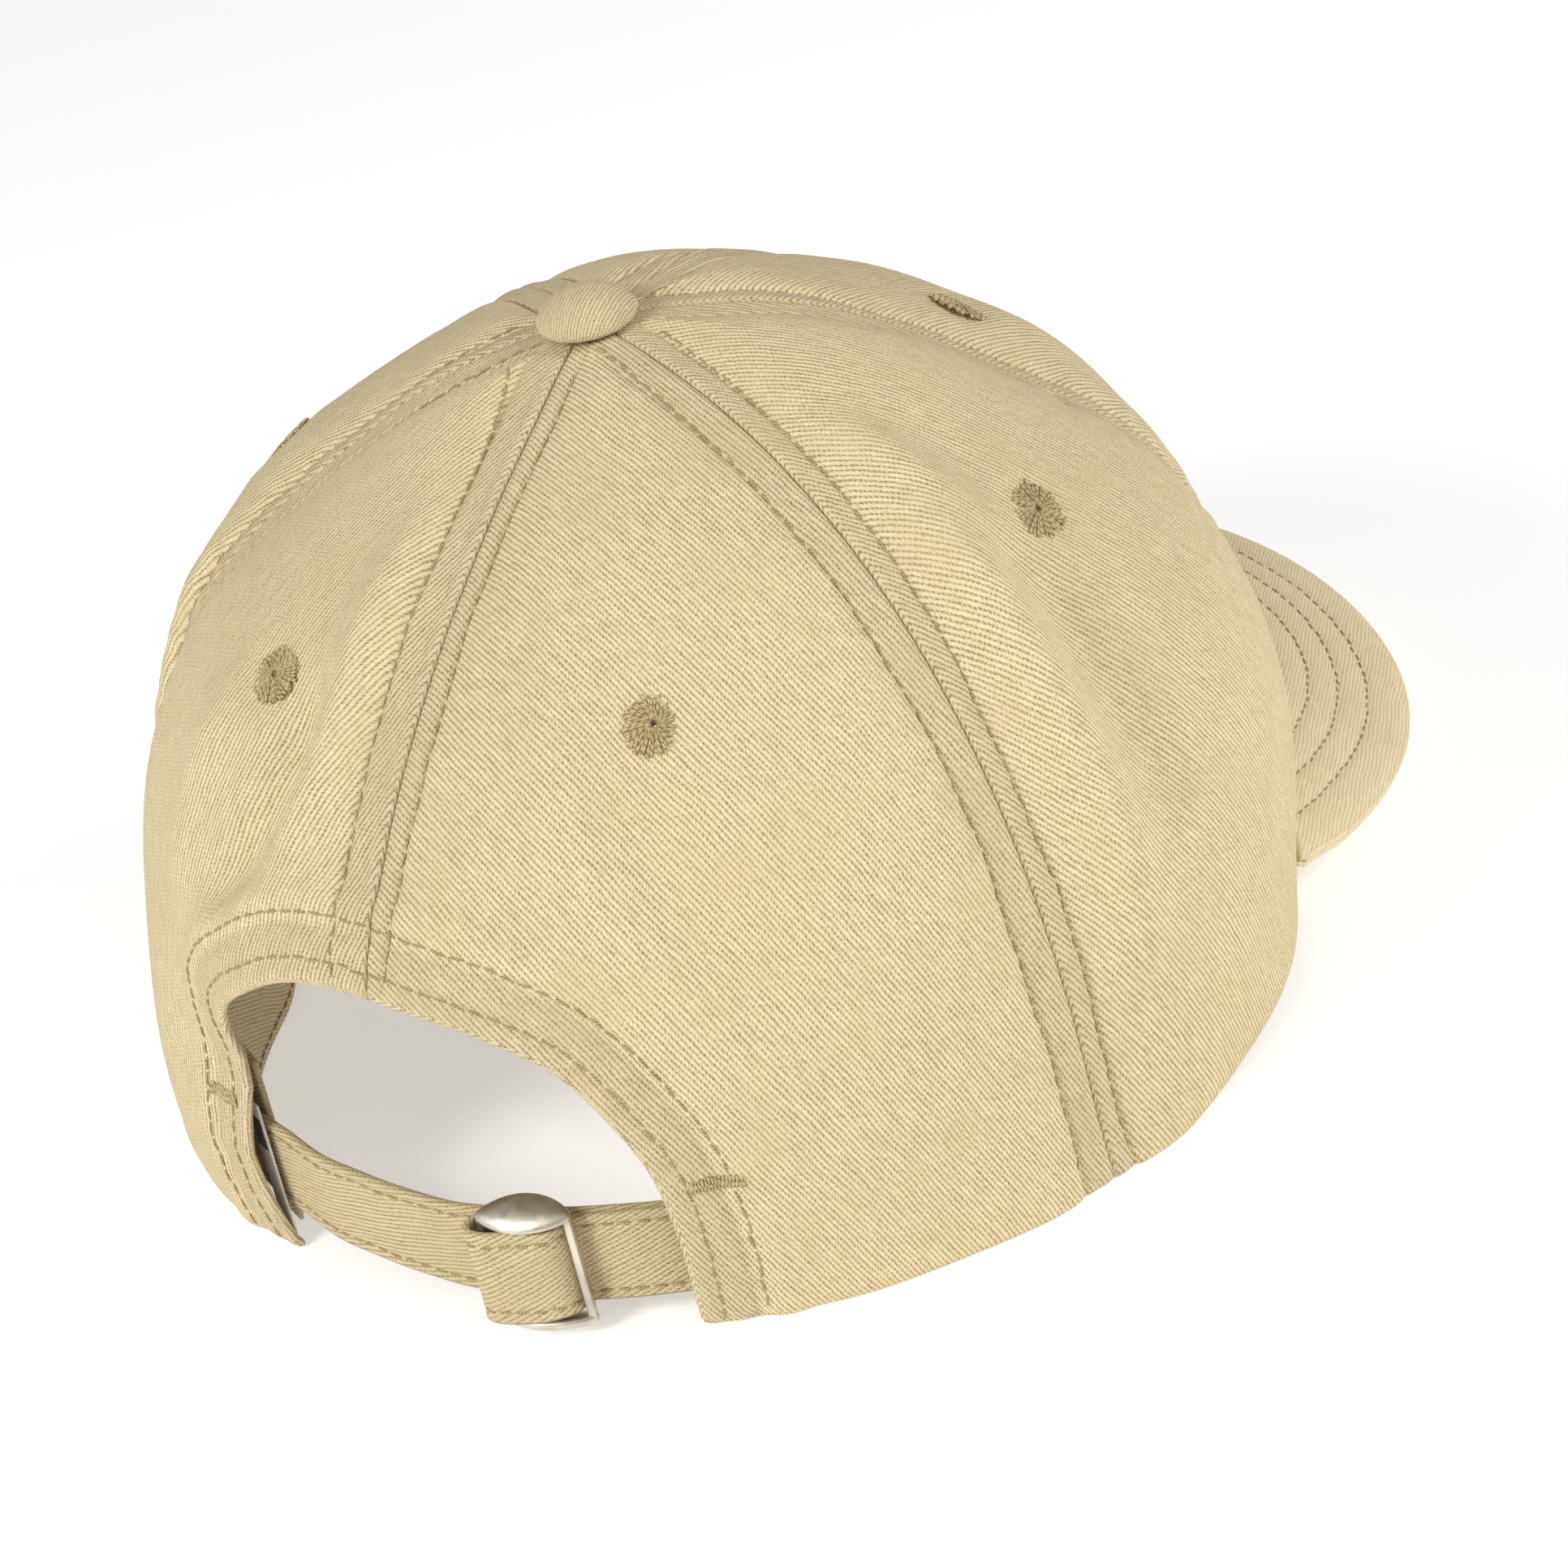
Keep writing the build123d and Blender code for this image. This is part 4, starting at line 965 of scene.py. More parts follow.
# ------------------------------------------------------------------ embroidered eyelets
for name, (e_phi, e_t) in EYELETS.items():
    c, n = on_cloth(np.array([e_phi]), np.array([e_t]))
    c, n = c[0], n[0]
    x = unit(np.cross([0, 0, 1.0], n)); y = np.cross(n, x)
    S, R = 46, 12
    ang = np.linspace(0, 2 * PI, S, endpoint=False) + rng.normal(0, 0.022, S)
    k = np.linspace(0, 1, R)
    r_out = 4.95 + rng.normal(0, 0.20, S)
    rr = 0.34 + (r_out[:, None] - 0.34) * k[None]
    lean = rng.normal(0, 0.035, S)[:, None] * k[None]
    hh = np.where(k < 0.14, -0.9 + 1.55 * np.sin(np.clip(k / 0.14, 0, 1) * PI / 2), 0.65 - 0.42 * smooth((k - 0.14) / 0.75))
    hh = np.where(k > 0.93, -0.15, hh)
    hh = hh[None] + rng.normal(0, 0.05, S)[:, None] + 0.35 * (k[None] > 0) * 0
    a = ang[:, None] + lean
    rad = np.cos(a)[..., None] * x + np.sin(a)[..., None] * y
    P = c + rad * rr[..., None] + n * hh[..., None]
    tang = np.cross(np.broadcast_to(n, rad.shape), rad)
    tan = unit(np.gradient(P, axis=1))
    up = unit(np.cross(tan, tang))
    rd = np.clip(0.066 * rr, 0.12, 0.29) * (1 + rng.normal(0, 0.07, S))[:, None]
    v1 = tubes(P, tang, up, rd)
    # the purl where every loop turns round the hole
    S2 = 22
    a2 = np.linspace(0, 2 * PI, S2, endpoint=False)
    kk = np.linspace(-0.5, 0.5, 7)
    aa = a2[:, None] + kk[None] * 0.40
    rad2 = np.cos(aa)[..., None] * x + np.sin(aa)[..., None] * y
    P2 = c + rad2 * (0.80 + 0.10 * np.cos(kk * PI * 2)[None, :, None]) + n * (0.42 + 0.10 * np.sin(kk * PI)[None, :, None])
    tan2 = unit(np.gradient(P2, axis=1))
    v2 = tubes(P2, rad2, np.cross(tan2, rad2), np.full((S2, 7), 0.2))
    # woven bed under the threads, with the barrel down through the cloth
    m = 64
    th = np.arange(m) / m * 2 * PI
    prof = [(4.55, 0.02), (4.3, 0.16), (3.2, 0.26), (1.9, 0.36), (0.80, 0.28), (0.42, 0.0), (0.28, -0.8), (0.42, -1.55), (1.3, -1.75), (3.1, -1.6), (3.5, -1.35), (3.3, -1.1), (1.52, -0.95), (1.5, -0.3), (3.4, -0.12)]
    ringdir = np.cos(th)[:, None] * x + np.sin(th)[:, None] * y
    vb = np.stack([c + ringdir * r + n * h for r, h in prof], 1).reshape(-1, 3)
    np_ = len(prof)
    i, j = np.meshgrid(np.arange(m), np.arange(np_), indexing="ij")
    fb = np.stack([i * np_ + j, i * np_ + (j + 1) % np_, ((i + 1) % m) * np_ + (j + 1) % np_, ((i + 1) % m) * np_ + j], -1).reshape(-1, 4)
    cb = np.stack([np.repeat(th / (2 * PI) * 20, np_), np.tile([p[0] for p in prof], m), np.full(m * np_, .3)], 1)
    v, f, co = join([v1, v2, (vb, [fb], cb)])
    ob = build("eyelet_" + name, v, f, "cap", [M_EYELET], co, fix=True)
    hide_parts("eyelet_" + name)

# ------------------------------------------------------------------ button
bz = CROWN_H + 0.35
th = np.linspace(0, 2 * PI, 97)[:-1]
prof = spline([(0, 5.2), (2.5, 5.0), (4.8, 4.25), (6.6, 3.05), (7.75, 1.7), (8.15, 0.6), (7.7, -0.45), (6.6, -0.75)], 34)
prof_i = spline([(6.3, -0.2), (7.0, 0.5), (6.6, 1.9), (4.8, 3.3), (2.4, 4.1), (0.02, 4.3)], 18)
full = np.vstack([prof, prof_i])
full[0, 0] = 0.02
m, k = len(th), len(full)
r, z = full[:, 0][None], full[:, 1][None]
wob = 1 + 0.012 * np.cos(2 * th + 0.4)[:, None] + 0.006 * np.cos(5 * th)[:, None]
gath = 0.10 * np.sin(th * 14 + 0.8 * np.sin(3 * th))[:, None] * smooth((r - 6.4) / 1.6) * (z < 2.0)
X = np.cos(th)[:, None] * (r * wob + gath); Y = np.sin(th)[:, None] * (r * wob + gath)
Z = z + 0.05 * np.cos(3 * th)[:, None] * smooth(1 - r / 8)
V = np.stack([X, Y + APEX_Y, Z + bz], -1).reshape(-1, 3)
i, j = np.meshgrid(np.arange(m), np.arange(k - 1), indexing="ij")
F = np.stack([i * k + j, i * k + j + 1, ((i + 1) % m) * k + j + 1, ((i + 1) % m) * k + j], -1).reshape(-1, 4)
caps = [np.arange(m) * k, np.arange(m) * k + k - 1]
arc = np.concatenate([[0], np.cumsum(np.linalg.norm(np.diff(full, axis=0), axis=1))])[None] + 0 * X
qa, qb = rotate(np.cos(th)[:, None] * arc, np.sin(th)[:, None] * arc, 95.0)
ob = build("button_cover", V, [F, caps[0][None], caps[1][None]], "cap", [M_BUTTON], np.stack([qa, qb, 0 * qa], -1).reshape(-1, 3))
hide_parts("button_cover")
BUTTON = ob
for node, mat in (("button_shell", M_SHELL), ("button_washer", M_SHELL)):
    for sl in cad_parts[node].material_slots:
        sl.material = mat

# ------------------------------------------------------------------ visor
VISOR_W, VISOR_L, VISOR_LIFT = 88.6, 67.0, 2.397
FRONT_Y = float(crown(180.0, 0.0)[1])


def visor_edge(s, inset=0.0, inset_l=None):
    w, l = VISOR_W - inset, VISOR_L - (inset if inset_l is None else inset_l)
    return np.stack([w * np.sin(s), 0.45 * FRONT_Y - (-FRONT_Y * 0.55 + l) * np.abs(np.cos(s))**0.64], -1)


def visor_z(x, y):
    return HEM_RISE + 0.22 * (y - FRONT_Y) - 0.0066 * x * x / 2 + VISOR_LIFT


def visor_up(x, y):
    return unit(np.stack([0.0066 * x, -0.22 + 0 * x, 1 + 0 * x], -1))


ph = np.linspace(116.5, 243.5, 260)
hp = crown(ph, 0.0)[:, :2]
hp = hp * (1 + 1.3 / np.linalg.norm(hp, axis=1, keepdims=True))
hp = resample(hp, 230)
fullout = visor_edge(np.radians(np.linspace(-86, 86, 700)))
keep = fullout[:, 1] < hp[0, 1] - 2.2
outl = fullout[keep]
outl = resample(np.vstack([[hp[0]], outl, [hp[-1]]]) if hp[0, 0] < 0 else np.vstack([[hp[-1]], outl, [hp[0]]]), 230)
if hp[0, 0] > 0:
    hp = hp[::-1]
na = 74
kk = np.linspace(0, 1, na)
kk = kk - 0.10 * np.sin(2 * PI * kk) / (2 * PI) * 1.5
cut = 1
A, B = hp[cut:-cut], outl[cut:-cut]
# pull in by half the thickness so the rolled edge ends on the outline
half_t = 1.55
dirv = unit(B - A)
gapd = np.linalg.norm(B - A, axis=1, keepdims=True)
B2 = B - dirv * np.minimum(half_t * 0.9, gapd * 0.2)
PL = A[None] + (B2 - A)[None] * kk[:, None, None]
X, Y = PL[..., 0], PL[..., 1]
up = visor_up(X, Y)
mid = np.stack([X, Y, visor_z(X, Y)], -1)
outer_d = np.linalg.norm(B2[None] - PL, axis=-1)
edge_round = np.exp(-(outer_d / 1.4)**2)
VROWS = [7.6 + 4.7 * k for k in range(8)]


def visor_row(d, n=900):
    """Stitch line at an even distance inside the outline, cut where it meets the crown."""
    q = resample(visor_edge(np.radians(np.linspace(-92, 92, 1200))), n)
    tq = unit(np.gradient(q, axis=0))
    nq = np.stack([-tq[:, 1], tq[:, 0]], 1)
    if (nq[n // 2] @ np.array([0.0, 1.0])) < 0:
        nq = -nq
    r = q + nq * d
    gap = np.linalg.norm(r[:, None] - q[None, ::3], axis=2).min(1)
    r = r[gap > d - 0.25]
    ang = np.degrees(np.arctan2(-r[:, 0], r[:, 1]))
    h = crown(ang, 0.0)[:, :2]
    q_ang = np.degrees(np.arctan2(-q[:, 0], -q[:, 1]))
    r_ang = np.degrees(np.arctan2(-r[:, 0], -r[:, 1]))
    order = np.argsort(q_ang)
    rim_r = np.interp(r_ang, q_ang[order], np.linalg.norm(q, axis=1)[order])
    keep = np.linalg.norm(r, axis=1) > np.linalg.norm(h, axis=1) + 1.2
    keep &= np.linalg.norm(r, axis=1) < rim_r - 0.8
    keep &= np.abs(r_ang) < np.abs(q_ang).max() - 2.0
    best, run = (0, 0), 0
    for i, ok in enumerate(list(keep) + [False]):
        if ok:
            run += 1
        else:
            if run > best[1] - best[0]:
                best = (i - run, i)
            run = 0
    return r[best[0]:best[1]]


dip = np.zeros(X.shape)
flatp = np.stack([X, Y, 0 * X], -1)
for a in VROWS:
    line = visor_row(a, 300)
    if len(line) < 6:
        continue
    d, _ = polyline_distance(flatp, np.column_stack([line, 0 * line[:, 0]]))
    dip = dip + np.exp(-(d / 0.7)**2)
wavy = 0.07 * np.sin(X / 7.0 + 1.3 * np.sin(Y / 11)) * smooth((outer_d) / 6)
topP = mid + up * (1.62 - 0.26 * dip + wavy * 0.6 - 0.35 * edge_round)[..., None]
botP = mid - up * (1.62 - 0.22 * dip + wavy * 0.4 - 0.35 * edge_round)[..., None]
qa, qb = rotate(X, Y, 110.0)
# third coordinate: painted shade along the sunken stitch rows
uvv = np.stack([qa, qb, 0.0 * qa + 0.4 * dip], -1)
top_cover = shell("visor_top_cover", topP, up, 1.58 - 0.26 * dip - 0.3 * edge_round, "cap", [M_VISOR], uvv, rim=4)
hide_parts("visor_top_cover")
low = mid - up * 0.02
under_cover = shell("visor_under_cover", low, up, 1.58 - 0.22 * dip - 0.3 * edge_round, "cap", [M_VISOR], uvv, rim=4)
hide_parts("visor_under_cover")
kb = np.linspace(0.06, 0.95, 40)
PB = A[4:-4][None] + (B2 - A)[4:-4][None] * kb[:, None, None]
mb = np.stack([PB[..., 0], PB[..., 1], visor_z(PB[..., 0], PB[..., 1])], -1)
ub = visor_up(PB[..., 0], PB[..., 1])
BOARD = shell("visor_board", mb + ub * 0.55, ub, 1.1, "cap", [M_BOARD], np.stack([PB[..., 0], PB[..., 1], 0 * PB[..., 0]], -1), rim=3)
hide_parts("visor_board")
chunks_t, chunks_b = [], []
for a in VROWS:
    line = visor_row(a)
    if len(line) < 40:
        continue
    line = resample(line, 600)
    x, y = line[:, 0], line[:, 1]
    n = visor_up(x, y)
    c = np.stack([x, y, visor_z(x, y)], -1)
    chunks_t.append(stitch_row(c + n * 1.36, n, pitch=2.7, length=2.3, radius=0.20, sink=0.26, crown_h=0.08, start=rng.uniform(0, 2)))
    chunks_b.append(stitch_row(c - n * 1.36, -n, pitch=2.7, length=2.3, radius=0.20, sink=0.26, crown_h=0.08, start=rng.uniform(0, 2)))
threads("topstitch_visor", chunks_t, "cap", M_THREAD_DARK)
threads("understitch_visor", chunks_b, "cap", M_THREAD_DARK)

# ------------------------------------------------------------------ inner trim: tapes, facing, sweatband
TAPES = []
for name in SEAMS:
    t0 = 0.014
    if name == "back":
        t0 = float(t_at(0.0, ARCH_AT_SEAM + 14.5))
    n_t = 150
    t = np.linspace(t0, 0.93, n_t)[:, None]
    c = seam_phi(name, t)
    rho = rho_at(c, t)
    half = np.minimum(6.0, 0.34 * rho)
    k = np.linspace(-1, 1, 15)[None]
    phi = c + np.degrees(half / rho) * k
    t2 = np.broadcast_to(t, phi.shape)
    P0 = crown(phi, t2)
    N = normal(phi, t2)
    low = relief(phi, t2, P0)[0].min(1, keepdims=True) - 1.12
    P = curl(P0 + N * (low + 0 * t2)[..., None])
    L = np.concatenate([[0], np.cumsum(np.linalg.norm(np.diff(P[:, 7], axis=0), axis=1))])[:, None]
    qa, qb = half * k + 0 * L, L + 0 * k
    T = 0.42 + 0.18 * (1 - np.abs(k)**3) + 0 * t
    ob = shell("seam_tape_" + name, P, N, T, "cap", [M_TAPE], np.stack([qa, qb, 0 * qa], -1), rim=3)
    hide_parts("seam_tape_" + name)
    TAPES.append((ob, 12.0, float(L[-1, 0]) + 1.0, float(1e-6 * ((half[1:, 0] + half[:-1, 0]) * np.diff(L[:, 0])).sum())))
    ch = []
    for s_ in (-0.72, 0.72):
        ph_ = (c + np.degrees(half / rho) * s_)[:, 0]
        pp = crown(ph_, t[:, 0]); nn = normal(ph_, t[:, 0])
        ch.append(stitch_row(curl(pp + nn * (low - 0.56)), -nn, radius=0.2, sink=0.2, crown_h=0.10))
    threads("tape_stitch_" + name, ch, "cap", M_THREAD)

# facing of the opening, following its edge on the inside
ws = np.linspace(1.7, 12.2, 16)
grid = []
for w in ws:
    q = arch_offset(float(w), 500)
    q = resample(q[q[:, 1] > 0.9], 240)
    ph_, t_ = from_xz(q[:, 0], q[:, 1])
    grid.append(np.stack([ph_, t_], -1))
grid = np.stack(grid)
P0, N = crown(grid[..., 0], grid[..., 1]), normal(grid[..., 0], grid[..., 1])
H = relief(grid[..., 0], grid[..., 1], P0)[0]
P = curl(P0 + N * (np.minimum(H, 0.15) - 1.30)[..., None])
k = (ws - ws[0])[:, None]
L = np.concatenate([[0], np.cumsum(np.linalg.norm(np.diff(P[8], axis=0), axis=1))])[None]
FACING = shell("arch_facing", P, N, 0.65, "cap", [M_TAPE], np.stack([k + 0 * L, L + 0 * k, 0 * k + 0 * L], -1), rim=3)
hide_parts("arch_facing")
L_FACING = L[0, -1]
FACING_AREA = L_FACING * 10.5
ch = []
for w in (3.6, 9.3):
    phi, t = arch_curve(w, 600)
    pp, nn = crown(phi, t), normal(phi, t)
    hh = np.minimum(relief(phi, t, pp)[0], 0.15)[:, None]
    ch.append(stitch_row(curl(pp + nn * (hh - 1.94)), -nn, radius=0.2, sink=0.2, crown_h=0.10))
threads("facing_stitch", ch, "cap", M_THREAD)

# sweatband
n_phi, n_z = 420, 34
phi = np.linspace(31.0, 329.0, n_phi)[None]
k = np.linspace(0, 1, n_z)[:, None]
a = np.abs(wrap(phi))
w = 1 - smooth((a - 76) / 28)
z = hem_z(phi) + 1.0 + 30.0 * k
ph2 = np.broadcast_to(wrap(phi), z.shape)
t = t_at(ph2, z, 2.3)
S_ = crown(ph2, t) - normal(ph2, t) * 2.3
r = np.hypot(S_[..., 0], S_[..., 1])
r = r + (82.6 - r) * w
roll = 0.55 * np.exp(-((k - 1.0) / 0.03)**2) - 0.35 * np.exp(-(k / 0.035)**2)
soft = 0.28 * np.sin(np.radians(phi) * 23) * np.sin(k * 5) + 0.22 * np.sin(np.radians(phi) * 41 + 1) * smooth(k * 2)
r_o = r - 0.05 + (1 - w) * np.minimum(relief(ph2, t)[0] + 0.1, 0.0)
p = np.radians(ph2)
out_dir = np.stack([-np.sin(p), np.cos(p), 0 * p], -1)
P = np.stack([-np.sin(p) * r_o, np.cos(p) * r_o, z], -1)
T = 1.05 + 0.18 * soft + roll * 0.6
BAND_P = P
arc = np.radians(phi) * 84
qa, qb = rotate(arc + 0 * z, z + 0 * arc, 28.0)
uvb = np.stack([qa, qb, 0 * z], -1)
BAND = shell("sweatband", P, out_dir, T, "cap", [M_BAND], uvb, rim=4)
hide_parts("sweatband")
ch = []
for kz in (0.075, 0.90):
    i = int(round(kz * (n_z - 1)))
    pin = P[i] - out_dir[i] * (T[i][:, None] + 0.0)
    ch.append(stitch_row(pin, -out_dir[i], radius=0.22, sink=0.25, crown_h=0.12))
threads("sweatband_stitch", ch, "cap", M_THREAD)

# ------------------------------------------------------------------ strap, tail and buckle
def polar(a, r, z=0.0):
    p = np.radians(a)
    return np.stack([-np.sin(p) * r, np.cos(p) * r, z + 0 * p], -1)


def web_profile(half_t, half_h, edge=0.22, n=14):
    """Section of a folded cotton strap: flat faces, thicker folded edges with a dip at each stitch row."""
    v = np.concatenate([np.linspace(-1, -0.72, 9)[:-1], np.linspace(-0.72, 0.72, 13)[:-1], np.linspace(0.72, 1, 9)]) * (half_h - half_t * 0.9)
    x = np.abs(v) / half_h
    th = half_t * (1.0 + edge * smooth((x - 0.80) / 0.12) - 0.30 * np.exp(-((x - 0.76) / 0.035)**2))
    a = np.linspace(0, PI, 7)[1:-1]
    te = th[-1]
    top = np.stack([np.cos(a) * te, v[-1] + np.sin(a) * half_t * 0.9], 1)
    front = np.stack([th, v], 1)
    back = np.stack([-th[::-1], v[::-1]], 1)
    bot = np.stack([-np.cos(a) * te, -v[-1] - np.sin(a) * half_t * 0.9], 1)
    return np.vstack([front, top, back, bot])


STRAP_LOW, STRAP_HIGH = 4.0, 20.0
ZM = 12.0
a = np.linspace(-46.0, 58.0, 240)
up3 = np.tile([0, 0, 1.0], (len(a), 1))
wob = 0.10 * np.sin(np.radians(a) * 17) + 0.08 * np.sin(np.radians(a) * 31)
sag = 0.25 * np.sin(np.radians(a) * 9 + 0.5)
left = smooth((2.0 - a) / 16.0)
C = polar(a, 84.25 + wob - 0.9 * smooth((-14.0 - a) / 12.0), ZM + sag * 0.6 + 2.3 * left - 0.9 * smooth((-20.0 - a) / 16.0))
STRAP_LEN = float(np.linalg.norm(np.diff(C, axis=0), axis=1).sum())
STRAP = sweep("strap", C, unit(polar(a, 1.0)), up3, web_profile(0.68, 8.0), "cap", [M_STRAP], wale=12.0, tint=0.0)
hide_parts("strap")
ch = []
for dz in (-6.1, 6.1):
    for s_ in (1, -1):
        ch.append(stitch_row(C + unit(polar(a, 1.0)) * (0.50 * s_) + up3 * dz, unit(polar(a, 1.0)) * s_, radius=0.24, sink=0.22, crown_h=0.16, pitch=2.9, length=2.5, start=0.5 * (s_ + 1)))
threads("strap_stitch", ch, "cap", M_THREAD)

AT = 10.8
BAR_R, BAR_D = 87.9, 1.8
# centre line of the tail: along the strap, over the bar, back under itself
xs = [(-4.6, 86.0), (-7.2, 86.2), (-9.1, 86.9), (-9.6, 88.5), (-9.1, 90.4), (-7.0, 91.5), (-3.4, 91.6), (0.0, 91.3), (2.8, 90.8), (4.6, 89.8), (5.4, 88.5), (5.8, 87.1), (6.5, 86.0)]
lp = spline(xs, 90)
ang_b = math.radians(AT)
ex, ey = np.array([-math.cos(ang_b), -math.sin(ang_b)]), np.array([-math.sin(ang_b), math.cos(ang_b)])
loop_xy = lp[:, :1] * ex + lp[:, 1:] * ey
tail_a = np.linspace(AT + math.degrees(7.2 / 85.95), 60.5, 110)
tail_xy = polar(tail_a, 85.95 + 0.06 * np.sin(np.radians(tail_a) * 25))[:, :2]
path = np.vstack([loop_xy, tail_xy])
path = resample(path, 230)
tg = unit(np.gradient(path, axis=0))
nr = np.stack([tg[:, 1], -tg[:, 0]], 1)
flip = np.sign((nr * unit(path)).sum(1)).mean()
nr = nr * (1 if (nr[-1] @ path[-1]) > 0 else -1)
C3 = np.column_stack([path, np.full(len(path), ZM)])
U3 = np.column_stack([nr, np.zeros(len(path))])
L = np.concatenate([[0], np.cumsum(np.linalg.norm(np.diff(path, axis=0), axis=1))])
TAIL_LEN = float(L[-1])
bulge = 1 + 0.07 * smooth((22.0 - L) / 5.0)
TAIL = sweep("strap_tail", C3, U3, np.tile([0, 0, 1.0], (len(path), 1)), web_profile(0.55, 8.0), "slider", [M_STRAP], wale=26.0, scale_v=bulge)
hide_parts("strap_tail")
ch = []
for dz in (-6.1, 6.1):
    sel = slice(20, len(path))
    ch.append(stitch_row(C3[sel] + U3[sel] * 0.40 + np.array([0, 0, dz]), U3[sel], radius=0.24, sink=0.22, crown_h=0.16, pitch=2.9, length=2.5))
threads("tail_stitch", ch, "slider", M_THREAD)

# buckle: bowed leaf-shaped rails, flat side bars, round centre bar; local x across, y outward, z up
def to_buckle(q):
    q = np.asarray(q, float)
    c, s = math.cos(ang_b), math.sin(ang_b)
    # local x runs towards the wearer's left at rest (+X turned by the buckle's place)
    return np.stack([q[..., 0] * c - q[..., 1] * s, q[..., 0] * s + q[..., 1] * c, q[..., 2]], -1)


SIDE_R = 88.4
parts_v, parts_f, parts_c, nb = [], [], [], 0


def add_part(v, f):
    global nb
    parts_v.append(to_buckle(v).reshape(-1, 3))
    for g in f:
        parts_f.append(np.asarray(g) + nb)
    nb += len(parts_v[-1])


def superring(half_w, n=28, power=2.6):
    a = np.linspace(0, 2 * PI, n, endpoint=False)
    c, s = np.cos(a), np.sin(a)
    return np.stack([np.sign(c) * np.abs(c)**(2 / power), np.sign(s) * np.abs(s)**(2 / power)], 1)


def bar_between(p0, p1, ha, hb, ua, ub, n=16, ring=24, power=4.0, taper=0.0):
    """Rounded bar from p0 to p1, half sizes ha, hb along ua, ub."""
    p0, p1, ua, ub = (np.asarray(q, float) for q in (p0, p1, ua, ub))
    sec = superring(1, ring, power)
    k = np.concatenate([[0, .004, .012, .03], np.linspace(.06, .94, n), [.97, .988, .996, 1]])
    endr = np.sqrt(np.clip(1 - np.clip(1 - np.minimum(k, 1 - k) / 0.03, 0, 1)**2, 0.02, 1))
    c = p0 + (p1 - p0) * k[:, None]
    v = c[:, None] + sec[None, :, :1] * ua * (ha * endr)[:, None, None] + sec[None, :, 1:] * ub * (hb * endr)[:, None, None]
    m, r = len(k), ring
    i, j = np.meshgrid(np.arange(m - 1), np.arange(r), indexing="ij")
    f = np.stack([i * r + j, i * r + (j + 1) % r, (i + 1) * r + (j + 1) % r, (i + 1) * r + j], -1).reshape(-1, 4)
    add_part(v, [f, np.arange(r)[None], ((m - 1) * r + np.arange(r))[None]])


half_open, RAIL_T, BW = 8.7, 1.5, 15.8
for s_ in (-1, 1):
    bar_between((s_ * (BW / 2 - 0.65), SIDE_R + 0.1, ZM - half_open - 0.9), (s_ * (BW / 2 - 0.65), SIDE_R + 0.1, ZM + half_open + 0.9), 0.65, 0.75, (1, 0, 0), (0, 1, 0))
bar_between((0, BAR_R, ZM - half_open - 0.7), (0, BAR_R, ZM + half_open + 0.7), 0.9, 0.9, (1, 0, 0), (0, 1, 0), power=2.0)
for s_ in (-1, 1):
    # leaf-shaped rail: domed outside face, thin dished rim
    nx, nw = 64, 26
    x = np.linspace(-1, 1, nx)
    wd = np.maximum(1 - x**2, 0)**0.80
    sec = superring(1, nw * 2, 2.3)
    depth = 3.35 * wd + 0.42
    thick = 0.62 + 0.35 * wd
    c = np.stack([x * BW / 2, np.full(nx, SIDE_R + 0.05), ZM + s_ * (half_open + 0.72 + 0.55 * wd)], -1)
    tilt = math.radians(20.0) * s_
    du = np.array([0, math.cos(tilt), -math.sin(tilt)]); dv = np.array([0, math.sin(tilt), math.cos(tilt)])
    v = c[:, None] + sec[None, :, :1] * du * depth[:, None, None] + sec[None, :, 1:] * dv * thick[:, None, None]
    crownb = 0.55 * wd[:, None] * (1 - sec[None, :, 0]**2)
    v = v + (dv * s_) * crownb[..., None] * (sec[None, :, 1:2] * s_ > 0)
    r = nw * 2
    i, j = np.meshgrid(np.arange(nx - 1), np.arange(r), indexing="ij")
    f = np.stack([i * r + j, i * r + (j + 1) % r, (i + 1) * r + (j + 1) % r, (i + 1) * r + j], -1).reshape(-1, 4)
    add_part(v, [f, np.arange(r)[None], ((nx - 1) * r + np.arange(r))[None]])
BUCKLE = build("buckle", np.concatenate(parts_v), parts_f, "buckle_frame", [M_METAL])
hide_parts("buckle")

# ------------------------------------------------------------------ care label: a thin sheet with a slight wave, with a plain dark patch
a = np.linspace(-31.3, -28.3, 26)
zz = np.linspace(1.6, 26.0, 60)
A_, Z_ = np.meshgrid(a, zz, indexing="ij")
bend = 0.25 * np.sin(Z_ / 7.0) + 0.15 * np.sin(np.radians(A_) * 60)
P = polar(A_, 85.15 + 0.15 * bend, 0)
P[..., 2] = Z_
Nl = polar(A_, 1.0, 0); Nl[..., 2] = 0
uvl = np.stack([np.radians(A_) * 86, Z_, 0 * Z_], -1)
LABEL = shell("care_label", P, Nl, 0.42, "cap", [M_LABEL], uvl, rim=4)
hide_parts("care_label")
sel = (slice(3, 23), slice(38, 53))
PATCH = shell("label_patch", P[sel] + Nl[sel] * 0.07, Nl[sel], 0.10, "cap", [M_PATCH], uvl[sel], rim=2)

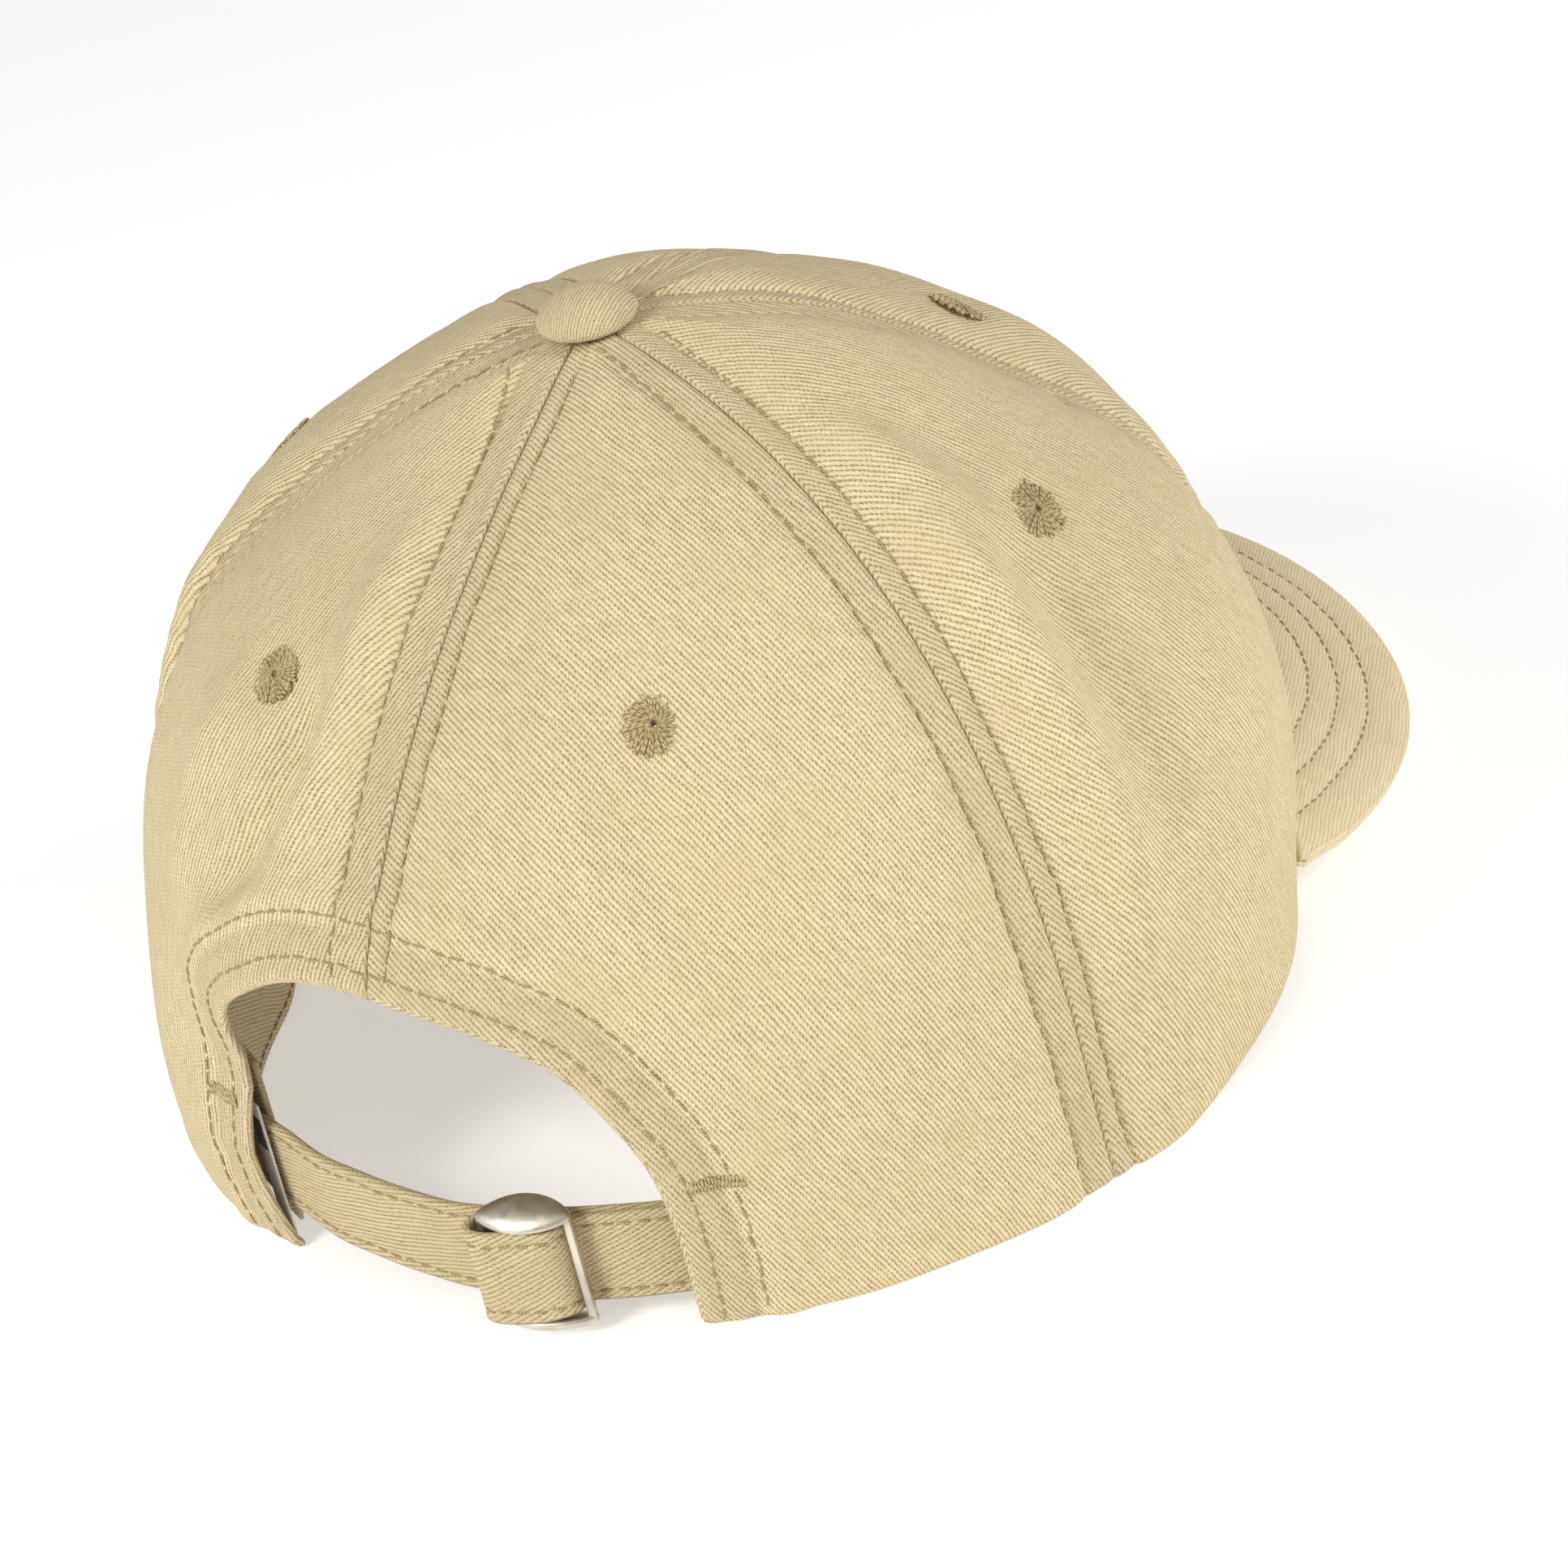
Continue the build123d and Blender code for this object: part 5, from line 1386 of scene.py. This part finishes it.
# ------------------------------------------------------------------ bar tacks
chunks = []
for side in (1, -1):
    phi0 = side * 31.4
    t0 = float(t_at(phi0, 27.5))
    S = 30
    along = np.linspace(-3.4, 3.4, S)
    R = 8
    k = np.linspace(-1, 1, R)
    dphi = np.degrees(along / 84.0)
    ph_ = phi0 + dphi[:, None] + np.degrees(0.12 / 84) * np.sign(np.sin(np.arange(S) * PI + .5))[:, None] * k[None] * 2
    z_ = 27.5 + k[None] * (1.15 + 0.12 * rng.normal(size=S))[:, None]
    t_ = t_at(ph_, z_)
    P, N = on_cloth(ph_, t_)
    hgt = -0.25 + 0.62 * (1 - np.abs(k)**3)
    c = P + N * hgt[None, :, None]
    tan = unit(np.gradient(c, axis=1))
    side_v = unit(np.cross(N, tan))
    chunks.append(tubes(c, side_v, unit(np.cross(tan, side_v)), np.full((S, R), 0.21)))
ob = threads("bar_tacks", chunks, "cap", M_EYELET)
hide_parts("bar_tacks")

# ------------------------------------------------------------------ sheets of cloth: flat sizes printed
for name, ob in PANELS.items():
    w, l, area = FLAT[name]


def span(P):
    """Surface of a grid in square metres."""
    d1, d2 = P[1:, 1:] - P[:-1, :-1], P[1:, :-1] - P[:-1, 1:]
    return float(np.linalg.norm(np.cross(d1, d2), axis=-1).sum() * 0.5e-6)


def cut(ob, w, l, area, held="stretched", on=("sweatband",), pieces=()):
    """Prints the sheet's name, its flat width and length in millimetres, and its area in square millimetres."""
    w, l = w * 0.001, l * 0.001
    print("SHEET", ob.name, round(w * 1000, 1), round(l * 1000, 1), round(area * 1e6))


VW, VL = float(np.ptp(X)) + 4.0, float(np.ptp(Y)) + 2.0
cut(top_cover, VW, VL, span(topP), on=("visor_board",))
cut(under_cover, VW, VL, span(topP), on=("visor_board",))
cut(BAND, 437.0, 30.0, span(BAND_P), on=("panel_side_left", "panel_side_right"))
cut(FACING, float(L_FACING), 10.6, FACING_AREA * 1e-6, on=("panel_back_left", "panel_back_right"))
for ob, w, l, area in TAPES:
    cut(ob, w, l, area, on=("button_cover",))
cut(STRAP, 15.9, STRAP_LEN, 15.5 * STRAP_LEN * 1e-6, on=("sweatband",))
cut(TAIL, 15.9, TAIL_LEN, 15.5 * TAIL_LEN * 1e-6, held="folded", on=("buckle", "strap"))
print("FLAT", {k: [round(float(x), 1) for x in v] for k, v in FLAT.items()})

# ------------------------------------------------------------------ stage, lights, camera
bpy.ops.mesh.primitive_plane_add(size=6.0, location=(0, 0, -0.0004))
floor = bpy.context.object
floor.name = "floor"
nf = Nodes("floor_white")
nf.set(Base_Color=(0.80, 0.80, 0.80, 1.0), Roughness=0.9)
nf.bsdf.inputs["Emission Color"].default_value = (1.0, 1.0, 1.0, 1.0)
nf.bsdf.inputs["Emission Strength"].default_value = 0.45
nf.bsdf.inputs["Specular IOR Level"].default_value = 0.1
floor.data.materials.append(nf.mat)

world = bpy.data.worlds.new("soft_world")
bpy.context.scene.world = world
world.use_nodes = True
bg = world.node_tree.nodes["Background"]
bg.inputs[0].default_value = (1.0, 1.0, 1.0, 1.0)
bg.inputs[1].default_value = 0.24

CAM = (-0.50662, 0.66562, 0.50360)


def area_light(name, loc, target, size, power, colour=(1, 1, 1)):
    d = bpy.data.lights.new(name, "AREA")
    d.shape = "SQUARE"
    d.size = size
    d.energy = power
    d.color = colour
    o = bpy.data.objects.new(name, d)
    bpy.context.scene.collection.objects.link(o)
    o.location = loc
    o.rotation_euler = (Vector(target) - Vector(loc)).to_track_quat("-Z", "Y").to_euler()
    return o


RIGHT, UP, BACK = np.array([-0.7960, -0.6053, 0.0]), np.array([-0.2934, 0.3860, 0.8746]), np.array([-0.5294, 0.6963, 0.4847])


def studio(name, r, u, b, dist, size, power, colour=(1, 1, 1)):
    """A softbox placed by how far right, up and towards the viewer it stands."""
    v = unit(RIGHT * r + UP * u + BACK * b) * dist + np.array([0, 0, 0.06])
    area_light(name, tuple(float(x) for x in v), (0, 0, 0.06), size, power, colour)


studio("key", -0.85, 0.66, 0.24, 1.25, 0.45, 9.9, (1.0, 0.99, 0.975))
studio("side", 0.90, 0.62, 0.06, 1.25, 0.50, 8.3, (1.0, 0.995, 0.985))
studio("front", 0.05, 1.0, 0.45, 1.5, 0.9, 2.4)

cam_data = bpy.data.cameras.new("camera")
cam = bpy.data.objects.new("camera", cam_data)
bpy.context.scene.collection.objects.link(cam)
F_PX = 7229.94561
cam_data.sensor_width = 36.0
cam_data.lens = 36.0 * F_PX / 1932.0
cam_data.clip_start = 0.01
rv = np.array([0.457564363, -2.34558882, 1.27390323])
tv = np.array([-8.01224553, 37.366781, 975.641035])
th_ = np.linalg.norm(rv); kx, ky, kz = rv / th_
K = np.array([[0, -kz, ky], [kz, 0, -kx], [-ky, kx, 0]])
Rm = np.eye(3) + math.sin(th_) * K + (1 - math.cos(th_)) * K @ K
pos = -Rm.T @ tv * 0.001
mw = Matrix.Identity(4)
for r_ in range(3):
    mw[r_][0], mw[r_][1], mw[r_][2], mw[r_][3] = Rm[0, r_], -Rm[1, r_], -Rm[2, r_], pos[r_]
cam.matrix_world = mw
bpy.context.scene.camera = cam
bpy.context.scene.view_settings.view_transform = "Standard"
